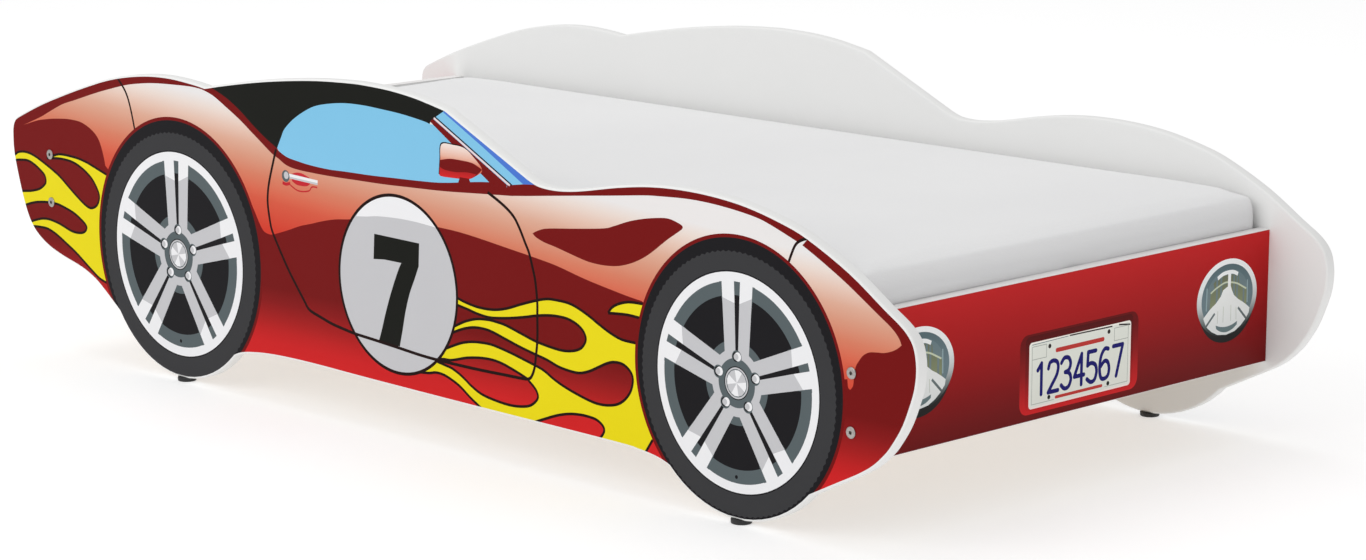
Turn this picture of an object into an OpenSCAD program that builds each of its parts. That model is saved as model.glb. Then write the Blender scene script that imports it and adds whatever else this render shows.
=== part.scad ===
// Race-car toddler bed: two car-shaped side panels, two boards, a roll of slats and a mattress.
// Millimetres. +X is the car's front, +Y its left side, +Z up. The origin is on the floor, under
// the middle of the bed's length and width.

/* [Mattress] */
// Length of the mattress
mattress_l = 1400; // [1100:1:1900]
// Width of the mattress
mattress_w = 700; // [550:1:900]
// Thickness of the mattress
mattress_h = 100; // [60:1:130]
// Radius of the mattress's rounded edges
mattress_edge_r = 22; // [5:1:28]
// Thickness of the sewn cover
cover_t = 1.5; // [1:0.1:4]
// Gap between the foam and the inside of its cover
core_gap = 0.5; // [0.2:0.1:2]
// Height of the mattress's underside above the floor
base_z = 193.5; // [190:0.5:230]
// Gap between the mattress and each end board
end_gap = 10; // [4:0.5:25]
// Gap between the mattress and each side panel
side_gap = 2; // [1:0.5:15]

/* [Side panels] */
// Thickness of a side panel
panel_t = 16; // [14:0.5:25]
// Height of the roof line above the floor
panel_top = 422.5; // [380:0.5:520]
// Length of the tail behind the middle of the rear board
tail_l = 86; // [75:1:130]
// Length of the nose in front of the middle of the front board
nose_l = 92; // [80:1:140]
// Place of the rear wheel, in front of the middle of the rear board
rear_wheel_x = 275; // [225:1:330]
// Place of the front wheel, behind the middle of the front board
front_wheel_x = 168; // [155:1:240]
// Radius of the rear wheel's edge
rear_wheel_r = 161; // [140:0.5:170]
// Radius of the front wheel's edge
front_wheel_r = 153; // [132:0.5:165]

/* [Boards] */
// Thickness of the front and rear boards
board_t = 16; // [14:0.5:25]
// Height of the front and rear boards
board_h = 160; // [132:1:180]
// Height of the front board's lower edge above the floor
front_board_z = 97; // [92:1:100]
// Height of the rear board's upper edge above the floor
rear_board_top = 297.5; // [280:0.5:300]
// Thickness of the plastic edge bands
band_t = 0.8; // [0.4:0.1:2]

/* [Bolts and dowels] */
// Distance from a board's edge to the nearest bolt
bolt_edge = 34.5; // [28:0.5:45]
// Distance between the two bolts of a corner
bolt_pitch = 64; // [50:1:76]
// Diameter of a bolt's shank
bolt_d = 6; // [5:0.5:8]
// Reach of a bolt into the board's end, to its tip
bolt_reach = 46; // [38:1:60]
// Diameter of a bolt's flat head
head_d = 13; // [11:0.5:18]
// Height of a bolt's head above the panel
head_h = 1.6; // [1:0.1:3]
// Width across flats of the hexagon socket
socket_w = 4; // [3:0.1:4.2]
// Depth of the hexagon socket
socket_depth = 3.2; // [2:0.1:5]
// Clearance round a bolt's shank, on the diameter
bolt_gap = 1; // [0.5:0.1:2]
// Diameter of a barrel nut
barrel_d = 10; // [9:0.5:12]
// Length of a barrel nut
barrel_l = 12; // [10:0.5:13]
// Distance from the board's end to a barrel nut's middle
barrel_y = 36; // [28:1:40]
// Clearance round a barrel nut, on the diameter
barrel_gap = 0.4; // [0.1:0.1:1]
// Running clearance between a screw's shank and its nut, on the diameter
thread_gap = 0.1; // [0.1:0.05:0.3]
// Diameter of a wooden dowel
dowel_d = 8; // [6:0.5:10]
// Depth of a dowel in the side panel
dowel_in_panel = 11; // [8:0.5:12]
// Depth of a dowel in the board
dowel_in_board = 20; // [15:1:30]
// Clearance round a dowel, on the diameter
dowel_gap = 0.1; // [0.1:0.05:0.4]

/* [Rails and slats] */
// Width of a rail, out from the side panel
rail_w = 20; // [16:1:30]
// Height of a rail
rail_h = 30; // [20:1:34]
// Gap between a rail's end and the board
rail_end_gap = 3; // [1:0.5:20]
// Number of screws in a rail
rail_screws = 5; // [3:1:8]
// Distance from a rail's end to its first screw
rail_screw_end = 60; // [30:5:120]
// Diameter of a rail screw's shank
screw_d = 3.5; // [3:0.5:5]
// Diameter of a rail screw's countersunk head
screw_head_d = 7; // [6:0.5:9]
// Reach of a rail screw into the side panel
screw_reach = 10; // [8:0.5:12]
// Clearance round a screw's shank, on the diameter
screw_gap = 0.2; // [0.1:0.1:0.6]
// Number of slats
slat_count = 14; // [10:1:16]
// Width of a slat
slat_w = 60; // [45:1:66]
// Thickness of a slat
slat_t = 12; // [8:0.5:15]
// Gap between a slat's end and the side panel
slat_end_gap = 2; // [1:0.5:8]
// Gap between the outermost slats and the boards
slat_board_gap = 12; // [4:1:30]
// Width of the webbing tape that holds the slats together
tape_w = 25; // [15:1:40]
// Thickness of the webbing tape
tape_t = 1.2; // [0.8:0.1:2]
// Distance of each tape from the bed's middle
tape_y = 220; // [150:5:230]
// Width of a staple
staple_w = 10; // [8:0.5:12]
// Thickness of a staple's wire
staple_wire = 0.8; // [0.6:0.1:1.2]
// Depth of a staple's legs in the slat
staple_leg = 6; // [4:0.5:7]

/* [Feet] */
// Height of a foot glide
foot_h = 5.5; // [4:0.5:12]
// Diameter of a foot glide
foot_d = 24; // [20:0.5:30]
// Chamfer round a foot glide's lower edge
foot_chamfer = 1; // [0.5:0.1:1.8]
// Depth of the flat that the wheel's edge has for its glide
foot_flat = 0.5; // [0.3:0.1:1.5]
// Diameter of a glide's nail
nail_d = 2.5; // [2:0.1:3.5]
// Diameter of the nail's head
nail_head_d = 8; // [6:0.5:9]
// Thickness of the nail's head
nail_head_h = 1.2; // [0.8:0.1:1.5]
// Depth of the nail's head above the floor
nail_sink = 1; // [0.5:0.1:1.2]
// Reach of the nail into the side panel
nail_reach = 16; // [10:1:25]
// Clearance round the nail, on the diameter
nail_gap = 0.2; // [0.1:0.1:0.5]

/* [Hidden] */
slat_names = [for (i = [1 : slat_count]) str("slat_", i)];

round_fn = 48;       // facets of small round pieces, where a facet count matters at all
curve_steps = 4;     // points along each span of a drawn curve
corner_steps = 6;    // flats round each corner of the mattress
over = 1;            // how far a cutting tool reaches past what it cuts

// The bed's inner space, and the planes of the two boards
inner_l = mattress_l + 2 * end_gap;
inner_w = mattress_w + 2 * side_gap;
bed_x = (tail_l - nose_l) / 2;
rear_x = bed_x - (inner_l + board_t) / 2;
front_x = bed_x + (inner_l + board_t) / 2;
outer_y = inner_w / 2 + panel_t;

// Heights of the boards, of their bolts and of the slats
rear_board_z = rear_board_top - board_h;
front_bolt_z = [for (k = [0, 1]) front_board_z + bolt_edge + k * bolt_pitch];
rear_bolt_z = [for (k = [0, 1]) rear_board_top - bolt_edge - k * bolt_pitch];
slat_z = base_z - slat_t;
rail_z = slat_z - rail_h;
rail_l = inner_l - 2 * rail_end_gap;
slat_pitch = (inner_l - 2 * slat_board_gap - slat_w) / (slat_count - 1);
first_slat_x = bed_x - (inner_l - slat_w) / 2 + slat_board_gap;

// Wheel centres: a glide's flat is cut off the lowest point of each wheel
rear_hub = [rear_x + rear_wheel_x, foot_h + rear_wheel_r - foot_flat];
front_hub = [front_x - front_wheel_x, foot_h + front_wheel_r - foot_flat];

// The outline is drawn for these reference places, and follows the real ones
drawn_rear_x = -721;
drawn_front_x = 715;
drawn_tail = 86;
drawn_nose = 92;
drawn_top = 422.5;
fixed_below = 97;

function fit_x(x) =
    x < drawn_rear_x ? rear_x + (x - drawn_rear_x) * tail_l / drawn_tail
    : x > drawn_front_x ? front_x + (x - drawn_front_x) * nose_l / drawn_nose
    : rear_x + (x - drawn_rear_x) * (front_x - rear_x) / (drawn_front_x - drawn_rear_x);
function fit_z(z) =
    z < fixed_below ? z
    : fixed_below + (z - fixed_below) * (panel_top - fixed_below) / (drawn_top - fixed_below);
function fit(points) = [for (p = points) [fit_x(p[0]), fit_z(p[1])]];

// Points on a smooth curve through the given points, without the last one
function curve(p) = [
    for (i = [0 : len(p) - 2], k = [0 : curve_steps - 1])
        let (a = p[max(i - 1, 0)], b = p[i], c = p[i + 1], d = p[min(i + 2, len(p) - 1)],
             t = k / curve_steps)
            (2 * b + (c - a) * t + (2 * a - 5 * b + 4 * c - d) * t * t
             + (3 * b - a - 3 * c + d) * t * t * t) / 2
];

// The car's outline, clockwise from under the tail: tail, rear wing, roof, windscreen,
// bonnet, nose and sill. The wheels are added to it as round discs.
tail_and_wing = [
    [-568, 66], [-616, 99.5], [-639, 111.5], [-663, 119.5], [-700, 128], [-731, 137.5],
    [-755, 150], [-770, 163.5], [-781, 181], [-792, 208], [-803, 244], [-806.5, 263],
    [-807, 278], [-806, 291], [-801, 301], [-790, 308], [-741, 328.5], [-691, 346],
    [-641, 362], [-590, 376.5], [-545, 385.5], [-500, 391], [-455, 392.5], [-410, 390],
    [-383, 387]];
roof = [
    [-383, 387], [-341, 395], [-281, 405], [-221, 413], [-161, 419], [-101, 422.2],
    [-71, 422.5], [-26, 421], [15, 417], [46, 412], [73, 407]];
bonnet_and_nose = [
    [215, 343], [232, 337.5], [255, 336], [280, 337.5], [310, 342], [360, 351.5],
    [410, 358.5], [460, 361.2], [510, 360], [560, 354.8], [611, 344], [651, 331.5],
    [711, 303], [761, 271.5], [781.5, 259], [793.5, 249.5], [801.5, 239], [805.5, 226.5],
    [807, 212], [805.5, 195.5], [801, 179], [789, 149.5], [774, 126], [763, 113],
    [746.5, 98.5], [726, 86], [701, 73.5], [675, 60.5], [640, 43]];
sill = [
    [446, 45], [425, 51.5], [395, 55.5], [350, 57.5], [110, 59.5], [-70, 61.5],
    [-180, 63.3], [-250, 62.5], [-295, 59], [-325, 53.5], [-350, 42]];

module outline() {
    polygon(concat(
        curve(fit(tail_and_wing)), curve(fit(roof)), [fit(roof)[len(roof) - 1]],
        curve(fit(bonnet_and_nose)),
        // through the middle of each wheel, which its disc covers
        [front_hub], curve(fit(sill)), [rear_hub]));
}

// Lays a flat drawing up as a right-hand side piece, t thick and outwards from y
module upright(y, t) {
    translate([0, -y, 0]) rotate([90, 0, 0]) linear_extrude(height = t) children();
}

// A round bar along Y, from y0 to y1
module bar_y(d, y0, y1) {
    translate([0, y0, 0]) rotate([-90, 0, 0]) cylinder(h = y1 - y0, d = d, $fn = round_fn);
}

// A round bar along X, centred
module bar_x(d, l) {
    rotate([0, 90, 0]) cylinder(h = l, d = d, center = true, $fn = round_fn);
}

module at_bolts(x, heights) {
    for (z = heights) translate([x, 0, z]) children();
}

module at_rail_screws() {
    for (k = [0 : rail_screws - 1])
        translate([bed_x - rail_l / 2 + rail_screw_end
                   + k * (rail_l - 2 * rail_screw_end) / (rail_screws - 1),
                   0, rail_z + rail_h / 2]) children();
}

function mean(v) = (v[0] + v[1]) / 2;

// ---- Side panels -------------------------------------------------------------------------

module side_panel() {
    difference() {
        union() {
            upright(inner_w / 2, panel_t) outline();
            for (w = [[rear_hub, rear_wheel_r], [front_hub, front_wheel_r]])
                translate([w[0][0], 0, w[0][1]])
                    rotate([90, 0, 0])
                        translate([0, 0, inner_w / 2])
                            cylinder(h = panel_t, r = w[1], $fn = 180);
        }
        // flats for the foot glides, and the holes of their nails
        for (hub = [rear_hub, front_hub]) translate([hub[0], -outer_y + panel_t / 2, foot_h]) {
            translate([-foot_d, -panel_t, -foot_flat - over])
                cube([2 * foot_d, 2 * panel_t, foot_flat + over]);
            translate([0, 0, -over])
                cylinder(h = nail_reach + 2 * over, d = nail_d + nail_gap, $fn = round_fn);
        }
        // through holes of the bolts
        for (c = [[rear_x, rear_bolt_z], [front_x, front_bolt_z]]) {
            at_bolts(c[0], c[1])
                bar_y(bolt_d + bolt_gap, -outer_y - over, -inner_w / 2 + over);
            // blind holes of the dowels
            translate([c[0], 0, mean(c[1])])
                bar_y(dowel_d + dowel_gap, -inner_w / 2 - dowel_in_panel - over,
                      -inner_w / 2 + over);
        }
        // pilot holes of the rail screws
        at_rail_screws()
            bar_y(screw_d + screw_gap, -inner_w / 2 - screw_reach - over, -inner_w / 2 + over);
    }
}

module right_panel() { color([0.62, 0.11, 0.11]) side_panel(); }
module left_panel() { color([0.62, 0.11, 0.11]) mirror([0, 1, 0]) side_panel(); }

// ---- Front and rear boards ---------------------------------------------------------------

// x is the board's middle plane, z its lower edge, and inwards the side the barrel nuts go in
module board(x, z, bolts, inwards) {
    difference() {
        translate([x - board_t / 2, -inner_w / 2, z + band_t])
            cube([board_t, inner_w, board_h - 2 * band_t]);
        for (side = [-1, 1]) {
            at_bolts(x, bolts) {
                bar_y(bolt_d + bolt_gap, side * inner_w / 2 - bolt_reach - over,
                      side * inner_w / 2 + bolt_reach + over);
                translate([inwards * (board_t - barrel_l) / 2, side * (inner_w / 2 - barrel_y), 0])
                    bar_x(barrel_d + barrel_gap, barrel_l + 2 * over);
            }
            translate([x, 0, mean(bolts)])
                bar_y(dowel_d + dowel_gap, side * inner_w / 2 - dowel_in_board - over,
                      side * inner_w / 2 + dowel_in_board + over);
        }
    }
}

module front_board() { color([0.66, 0.13, 0.15]) board(front_x, front_board_z, front_bolt_z, -1); }
module rear_board() { color([0.66, 0.13, 0.15]) board(rear_x, rear_board_z, rear_bolt_z, 1); }

module edge_bands(x, z) {
    color([0.93, 0.93, 0.93])
        for (edge = [z, z + board_h - band_t])
            translate([x - board_t / 2, -inner_w / 2, edge]) cube([board_t, inner_w, band_t]);
}

module front_edge_bands() { edge_bands(front_x, front_board_z); }
module rear_edge_bands() { edge_bands(rear_x, rear_board_z); }

// ---- Bolts, barrel nuts and dowels -------------------------------------------------------

// The two bolts of a right-hand corner: flat heads with hexagon sockets
module corner_bolts(x, heights) {
    color([0.75, 0.75, 0.76])
        at_bolts(x, heights)
            difference() {
                union() {
                    bar_y(head_d, -outer_y - head_h, -outer_y);
                    bar_y(bolt_d, -outer_y - head_h / 2, -inner_w / 2 + bolt_reach);
                }
                translate([0, -outer_y - head_h - over, 0])
                    rotate([-90, 0, 0])
                        cylinder(h = socket_depth + over, d = socket_w / cos(30), $fn = 6);
            }
}

module bolts_front_right() { corner_bolts(front_x, front_bolt_z); }
module bolts_front_left() { mirror([0, 1, 0]) corner_bolts(front_x, front_bolt_z); }
module bolts_rear_right() { corner_bolts(rear_x, rear_bolt_z); }
module bolts_rear_left() { mirror([0, 1, 0]) corner_bolts(rear_x, rear_bolt_z); }

module barrel_nuts(x, heights, inwards) {
    color([0.7, 0.68, 0.6])
        for (side = [-1, 1])
            at_bolts(x, heights)
                translate([inwards * (board_t - barrel_l) / 2, side * (inner_w / 2 - barrel_y), 0])
                    difference() {
                        bar_x(barrel_d, barrel_l);
                        // the thread, on the bolt's own line
                        translate([-inwards * (board_t - barrel_l) / 2, 0, 0])
                            bar_y(bolt_d + thread_gap, -barrel_d, barrel_d);
                    }
}

module barrel_nuts_front() { barrel_nuts(front_x, front_bolt_z, -1); }
module barrel_nuts_rear() { barrel_nuts(rear_x, rear_bolt_z, 1); }

module dowels(x, heights) {
    color([0.82, 0.66, 0.44])
        for (side = [0, 1])
            mirror([0, side, 0])
                translate([x, 0, mean(heights)])
                    bar_y(dowel_d, -inner_w / 2 - dowel_in_panel, -inner_w / 2 + dowel_in_board);
}

module dowels_front() { dowels(front_x, front_bolt_z); }
module dowels_rear() { dowels(rear_x, rear_bolt_z); }

// ---- Rails and their screws --------------------------------------------------------------

// A rail screw's shape along Y, out by gap on the diameter: shank and countersunk head
module rail_screw(gap) {
    inside = -inner_w / 2 + rail_w;
    head = (screw_head_d - screw_d) / 2;
    bar_y(screw_d + gap, -inner_w / 2 - screw_reach, inside - head / 2);
    translate([0, inside, 0])
        rotate([90, 0, 0])
            cylinder(h = head, d1 = screw_head_d + gap, d2 = screw_d + gap, $fn = round_fn);
}

module rail() {
    color([0.85, 0.72, 0.5])
        difference() {
            translate([bed_x - rail_l / 2, -inner_w / 2, rail_z]) cube([rail_l, rail_w, rail_h]);
            at_rail_screws() rail_screw(screw_gap);
        }
}

module right_rail() { rail(); }
module left_rail() { mirror([0, 1, 0]) rail(); }

module rail_screw_row() { color([0.8, 0.72, 0.4]) at_rail_screws() rail_screw(0); }

module right_rail_screws() { rail_screw_row(); }
module left_rail_screws() { mirror([0, 1, 0]) rail_screw_row(); }

// ---- Foot glides -------------------------------------------------------------------------

module at_foot(hub, side) {
    translate([hub[0], side * (outer_y - panel_t / 2), 0]) children();
}

module foot(hub, side) {
    color([0.08, 0.08, 0.08])
        at_foot(hub, side)
            difference() {
                union() {
                    cylinder(h = foot_chamfer, d1 = foot_d - 2 * foot_chamfer, d2 = foot_d,
                             $fn = round_fn);
                    translate([0, 0, foot_chamfer])
                        cylinder(h = foot_h - foot_chamfer, d = foot_d, $fn = round_fn);
                }
                translate([0, 0, -over])
                    cylinder(h = nail_sink + nail_head_h + over, d = nail_head_d + nail_gap,
                             $fn = round_fn);
                cylinder(h = foot_h + over, d = nail_d + nail_gap, $fn = round_fn);
            }
}

module foot_front_right() { foot(front_hub, -1); }
module foot_front_left() { foot(front_hub, 1); }
module foot_rear_right() { foot(rear_hub, -1); }
module foot_rear_left() { foot(rear_hub, 1); }

module foot_nails() {
    color([0.7, 0.7, 0.72])
        for (hub = [rear_hub, front_hub], side = [-1, 1])
            at_foot(hub, side)
                translate([0, 0, nail_sink]) {
                    cylinder(h = nail_head_h, d = nail_head_d, $fn = round_fn);
                    cylinder(h = foot_h - nail_sink + nail_reach, d = nail_d, $fn = round_fn);
                }
}

// ---- Slats, tapes and staples ------------------------------------------------------------

function slat_x(i) = first_slat_x + i * slat_pitch;

// One staple, from below: its crown crosses the tape and its legs stand in the slat
module staple() {
    translate([-staple_w / 2, -staple_wire / 2, slat_z - tape_t - staple_wire])
        cube([staple_w, staple_wire, staple_wire]);
    for (leg = [-staple_w / 2, staple_w / 2 - staple_wire])
        translate([leg, -staple_wire / 2, slat_z - tape_t - staple_wire])
            cube([staple_wire, staple_wire, staple_wire + tape_t + staple_leg]);
}

module at_staples(i) {
    for (y = [-tape_y, tape_y]) translate([slat_x(i), y, 0]) children();
}

module slat(i) {
    color([0.88, 0.76, 0.56])
        difference() {
            translate([slat_x(i) - slat_w / 2, -inner_w / 2 + slat_end_gap, slat_z])
                cube([slat_w, inner_w - 2 * slat_end_gap, slat_t]);
            at_staples(i) staple();
        }
}

module slat_tape(y) {
    color([0.9, 0.9, 0.88])
        difference() {
            translate([first_slat_x - slat_w / 2, y - tape_w / 2, slat_z - tape_t])
                cube([slat_pitch * (slat_count - 1) + slat_w, tape_w, tape_t]);
            for (i = [0 : slat_count - 1]) at_staples(i) staple();
        }
}

module slat_tape_right() { slat_tape(-tape_y); }
module slat_tape_left() { slat_tape(tape_y); }

module tape_staples() {
    color([0.75, 0.75, 0.77])
        for (i = [0 : slat_count - 1]) at_staples(i) staple();
}

// ---- Mattress ----------------------------------------------------------------------------

// Corner points of an l by w rectangle with rounded corners, centred
function rounded(l, w, r) = [
    for (q = [0 : 3], k = [0 : corner_steps])
        let (a = 90 * (q + k / corner_steps), x = q == 0 || q == 3 ? 1 : -1, y = q < 2 ? 1 : -1)
            [x * (l / 2 - r) + r * cos(a), y * (w / 2 - r) + r * sin(a)]
];

// A block with rounded edges: the mattress's shape, smaller by inset on every side
module pad(inset) {
    l = mattress_l - 2 * inset;
    w = mattress_w - 2 * inset;
    h = mattress_h - 2 * inset;
    r = mattress_edge_r - inset;
    translate([bed_x, 0, base_z + mattress_h / 2])
        intersection() {
            linear_extrude(height = h, center = true) polygon(rounded(l, w, r));
            rotate([90, 0, 0]) linear_extrude(height = w, center = true) polygon(rounded(l, h, r));
            rotate([90, 0, 90]) linear_extrude(height = l, center = true) polygon(rounded(w, h, r));
        }
}

module mattress_cover() {
    color([0.9, 0.9, 0.91])
        difference() {
            pad(0);
            pad(cover_t);
        }
}

module mattress_core() { color([0.95, 0.93, 0.8]) pad(cover_t + core_gap); }

// ---- The nodes ---------------------------------------------------------------------------

right_panel();
left_panel();
front_board();
rear_board();
front_edge_bands();
rear_edge_bands();
bolts_front_right();
bolts_front_left();
bolts_rear_right();
bolts_rear_left();
barrel_nuts_front();
barrel_nuts_rear();
dowels_front();
dowels_rear();
right_rail();
left_rail();
right_rail_screws();
left_rail_screws();
foot_front_right();
foot_front_left();
foot_rear_right();
foot_rear_left();
foot_nails();
for (i = [0 : slat_count - 1]) slat(i);
slat_tape_right();
slat_tape_left();
tape_staples();
mattress_core();
mattress_cover();
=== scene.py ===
import math

import bmesh
import bpy
from mathutils import Matrix, Vector
from mathutils.geometry import delaunay_2d_cdt


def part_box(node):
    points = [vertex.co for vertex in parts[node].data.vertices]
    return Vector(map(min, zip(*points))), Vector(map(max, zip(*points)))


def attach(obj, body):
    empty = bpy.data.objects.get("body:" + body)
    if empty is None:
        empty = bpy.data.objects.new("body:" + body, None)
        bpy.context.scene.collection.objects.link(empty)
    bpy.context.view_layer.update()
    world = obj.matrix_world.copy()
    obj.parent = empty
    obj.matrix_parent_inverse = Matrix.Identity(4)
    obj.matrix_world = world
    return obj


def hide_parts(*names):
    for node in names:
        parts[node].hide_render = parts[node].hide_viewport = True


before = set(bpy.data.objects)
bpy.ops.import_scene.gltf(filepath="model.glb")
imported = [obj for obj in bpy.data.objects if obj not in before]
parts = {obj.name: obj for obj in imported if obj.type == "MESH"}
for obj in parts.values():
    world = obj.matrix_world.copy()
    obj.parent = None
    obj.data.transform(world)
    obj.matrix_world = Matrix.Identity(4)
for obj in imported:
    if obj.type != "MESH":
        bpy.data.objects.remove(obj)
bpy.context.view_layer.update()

# A toddler bed in the form of a race car: two printed side panels, two end boards, a roll of
# slats on two rails and a foam mattress. Metres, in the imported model's own frame.

# ---- Side panels ---------------------------------------------------------------------------
# Each side is one car-shaped board of 16 mm MDF. A router cuts it out and rounds its edges
# over, then it is sprayed white all over. Its printed film comes in the next section.

MM = 0.001
EDGE_ROUND = 2.6 * MM      # radius of the router's rounding
BOLT_HOLE_R = 3.5 * MM
DRILL_PAST = 10 * MM       # the drill goes this far past both faces
TOUCH = 1e-5               # two points closer than this are one
SQUARE = 0.999             # cosine beyond which a face counts as square to an axis


def tone(red, green, blue):
    """A mixed paint's colour, 0 to 255 a channel, as the linear colour that a shader reads."""
    channels = [c / 255 for c in (red, green, blue)]
    return [c / 12.92 if c <= 0.04045 else ((c + 0.055) / 1.055) ** 2.4
            for c in channels] + [1.0]


def node(tree, kind, sockets=(), **settings):
    """One shader node. A socket gets a plain value, or a link from another node's output."""
    made = tree.nodes.new("ShaderNode" + kind)
    for key, value in settings.items():
        setattr(made, key, value)
    for key, value in dict(sockets).items():
        if isinstance(value, bpy.types.NodeSocket):
            tree.links.new(value, made.inputs[key])
        else:
            made.inputs[key].default_value = value
    return made


def surface_group(name, wants, gives):
    """An empty shader group with its named inputs and outputs, and its two end nodes."""
    tree = bpy.data.node_groups.new(name, "ShaderNodeTree")
    for way, sockets in (("INPUT", wants), ("OUTPUT", gives)):
        for socket, kind in sockets:
            tree.interface.new_socket(socket, in_out=way, socket_type="NodeSocket" + kind)
    return tree, tree.nodes.new("NodeGroupInput"), tree.nodes.new("NodeGroupOutput")


def link_all(tree, target, **sources):
    """Links several outputs to one node's inputs, which are named with _ for a space."""
    for key, source in sources.items():
        tree.links.new(source, target.inputs[key.replace("_", " ")])


# Sprayed or printed skin: broad drifts of tone, fine orange peel, and a gloss that wanders
skin, skin_in, skin_out = surface_group(
    "painted_skin",
    [("Color", "Color"), ("Drift", "Float"), ("Gloss", "Float"), ("Peel Size", "Float")],
    [("Color", "Color"), ("Roughness", "Float"), ("Height", "Float")])
skin_place = node(skin, "TexCoord")
skin_drift = node(skin, "TexNoise", {"Vector": skin_place.outputs["Object"], "Scale": 9.0,
                                     "Detail": 4.0, "Roughness": 0.6})
skin_peel = node(skin, "TexNoise", {"Vector": skin_place.outputs["Object"],
                                    "Scale": skin_in.outputs["Peel Size"], "Detail": 2.0})
skin_speck = node(skin, "TexNoise", {"Vector": skin_place.outputs["Object"], "Scale": 1600.0,
                                     "Detail": 1.0})
skin_mask = node(skin, "MapRange", {"Value": skin_drift.outputs["Fac"], "From Min": 0.3,
                                    "From Max": 0.7, "To Min": 0.0,
                                    "To Max": skin_in.outputs["Drift"]})
skin_dot = node(skin, "MapRange", {"Value": skin_speck.outputs["Fac"], "From Min": 0.25,
                                   "From Max": 0.75, "To Min": 0.0,
                                   "To Max": skin_in.outputs["Drift"]})
skin_sum = node(skin, "Math", {0: skin_mask.outputs["Result"], 1: skin_dot.outputs["Result"]},
                operation="ADD")
skin_dark = node(skin, "HueSaturation", {"Color": skin_in.outputs["Color"], "Value": 0.72})
skin_mix = node(skin, "Mix", {"Factor": skin_sum.outputs[0], 6: skin_in.outputs["Color"],
                              7: skin_dark.outputs["Color"]}, data_type="RGBA")
skin_gloss = node(skin, "Math", {0: skin_drift.outputs["Fac"], 1: 0.16,
                                 2: skin_in.outputs["Gloss"]}, operation="MULTIPLY_ADD")
link_all(skin, skin_out, Color=skin_mix.outputs[2], Roughness=skin_gloss.outputs[0],
         Height=skin_peel.outputs["Fac"])


def finish(name, **values):
    """A new material, its tree and its shader, with the values that are the same all over."""
    made = bpy.data.materials.new(name)
    made.use_nodes = True
    shader = made.node_tree.nodes["Principled BSDF"]
    for key, value in values.items():
        shader.inputs[key.replace("_", " ").title().replace("Ior", "IOR")].default_value = value
    return made, made.node_tree, shader


def bump(tree, shader, height, strength, depth):
    """Raises the surface by a height that changes over it."""
    relief = node(tree, "Bump", {"Height": height, "Strength": strength, "Distance": depth})
    tree.links.new(relief.outputs["Normal"], shader.inputs["Normal"])


def dress(tree, shader, group, strength, depth, **values):
    """Adds a finish's shader group with its values, and joins it to the shader."""
    over = node(tree, "Group", node_tree=group)
    for key, value in values.items():
        over.inputs[key.replace("_", " ")].default_value = value
    link_all(tree, shader, Base_Color=over.outputs["Color"],
             Roughness=over.outputs["Roughness"])
    bump(tree, shader, over.outputs["Height"], strength, depth)
    return over


def paint(name, tones, drift=0.05, gloss=0.34, peel=700.0, peel_depth=0.03 * MM,
          specular=0.05, lean=0.0):
    """Sprayed or printed colour. Several tones, each with its height in mm, make a fade,
    which leans down towards the car's front where asked."""
    made, tree, shader = finish(name, specular_ior_level=specular)
    place = node(tree, "TexCoord")
    level = node(tree, "VectorMath", {0: place.outputs["Object"], 1: (lean, 0.0, 1.0)},
                 operation="DOT_PRODUCT")
    low, high = tones[0][0] * MM, tones[-1][0] * MM
    along = node(tree, "MapRange", {"Value": level.outputs["Value"], "From Min": low,
                                    "From Max": max(high, low + MM)})
    fade = node(tree, "ValToRGB", {"Fac": along.outputs["Result"]})
    ramp = fade.color_ramp.elements
    while len(ramp) < len(tones):
        ramp.new(0.5)
    for stop, (height, _) in zip(ramp, tones):
        stop.position = min(1.0, (height * MM - low) / max(high - low, MM))
    for stop, (_, colour) in zip(ramp, tones):
        stop.color = tone(*colour)
    if len(tones) == 1:
        ramp[1].color = tone(*tones[0][1])
    over = dress(tree, shader, skin, 0.5, peel_depth, Drift=drift, Gloss=gloss, Peel_Size=peel)
    tree.links.new(fade.outputs["Color"], over.inputs["Color"])
    return made


white_spray = paint("white_spray", [(0, (232, 232, 231)), (420, (240, 240, 239))],
                    drift=0.035, gloss=0.3, peel=420.0)


def in_scene(name, data):
    """A new object in the scene that shows a mesh, a light or a camera."""
    made = bpy.data.objects.new(name, data)
    bpy.context.scene.collection.objects.link(made)
    return made


def mesh_of(name, shape):
    """A finished bmesh as a mesh. The bmesh is used up."""
    data = bpy.data.meshes.new(name)
    shape.to_mesh(data)
    shape.free()
    return data


def as_mesh(target):
    """Makes what a piece's modifiers show its own mesh, and takes them off."""
    graph = bpy.context.evaluated_depsgraph_get()
    shown = bpy.data.meshes.new_from_object(target.evaluated_get(graph))
    target.modifiers.clear()
    target.data = shown


def piece(name, shape, material, body="frame", stands_for=()):
    """Makes a finished bmesh an object that rides on a body, in its material."""
    made = in_scene(name, mesh_of(name, shape))
    made.data.materials.append(material)
    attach(made, body)
    if stands_for:
        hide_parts(*stands_for)
    return made


def put_on(name, material):
    """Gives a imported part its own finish."""
    parts[name].data.materials.clear()
    parts[name].data.materials.append(material)


def flat_caps(shape, axis):
    """Smooth sides and rounded edges, and flat faces square to the axis."""
    for face in shape.faces:
        face.smooth = abs(face.normal[axis]) < SQUARE


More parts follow.
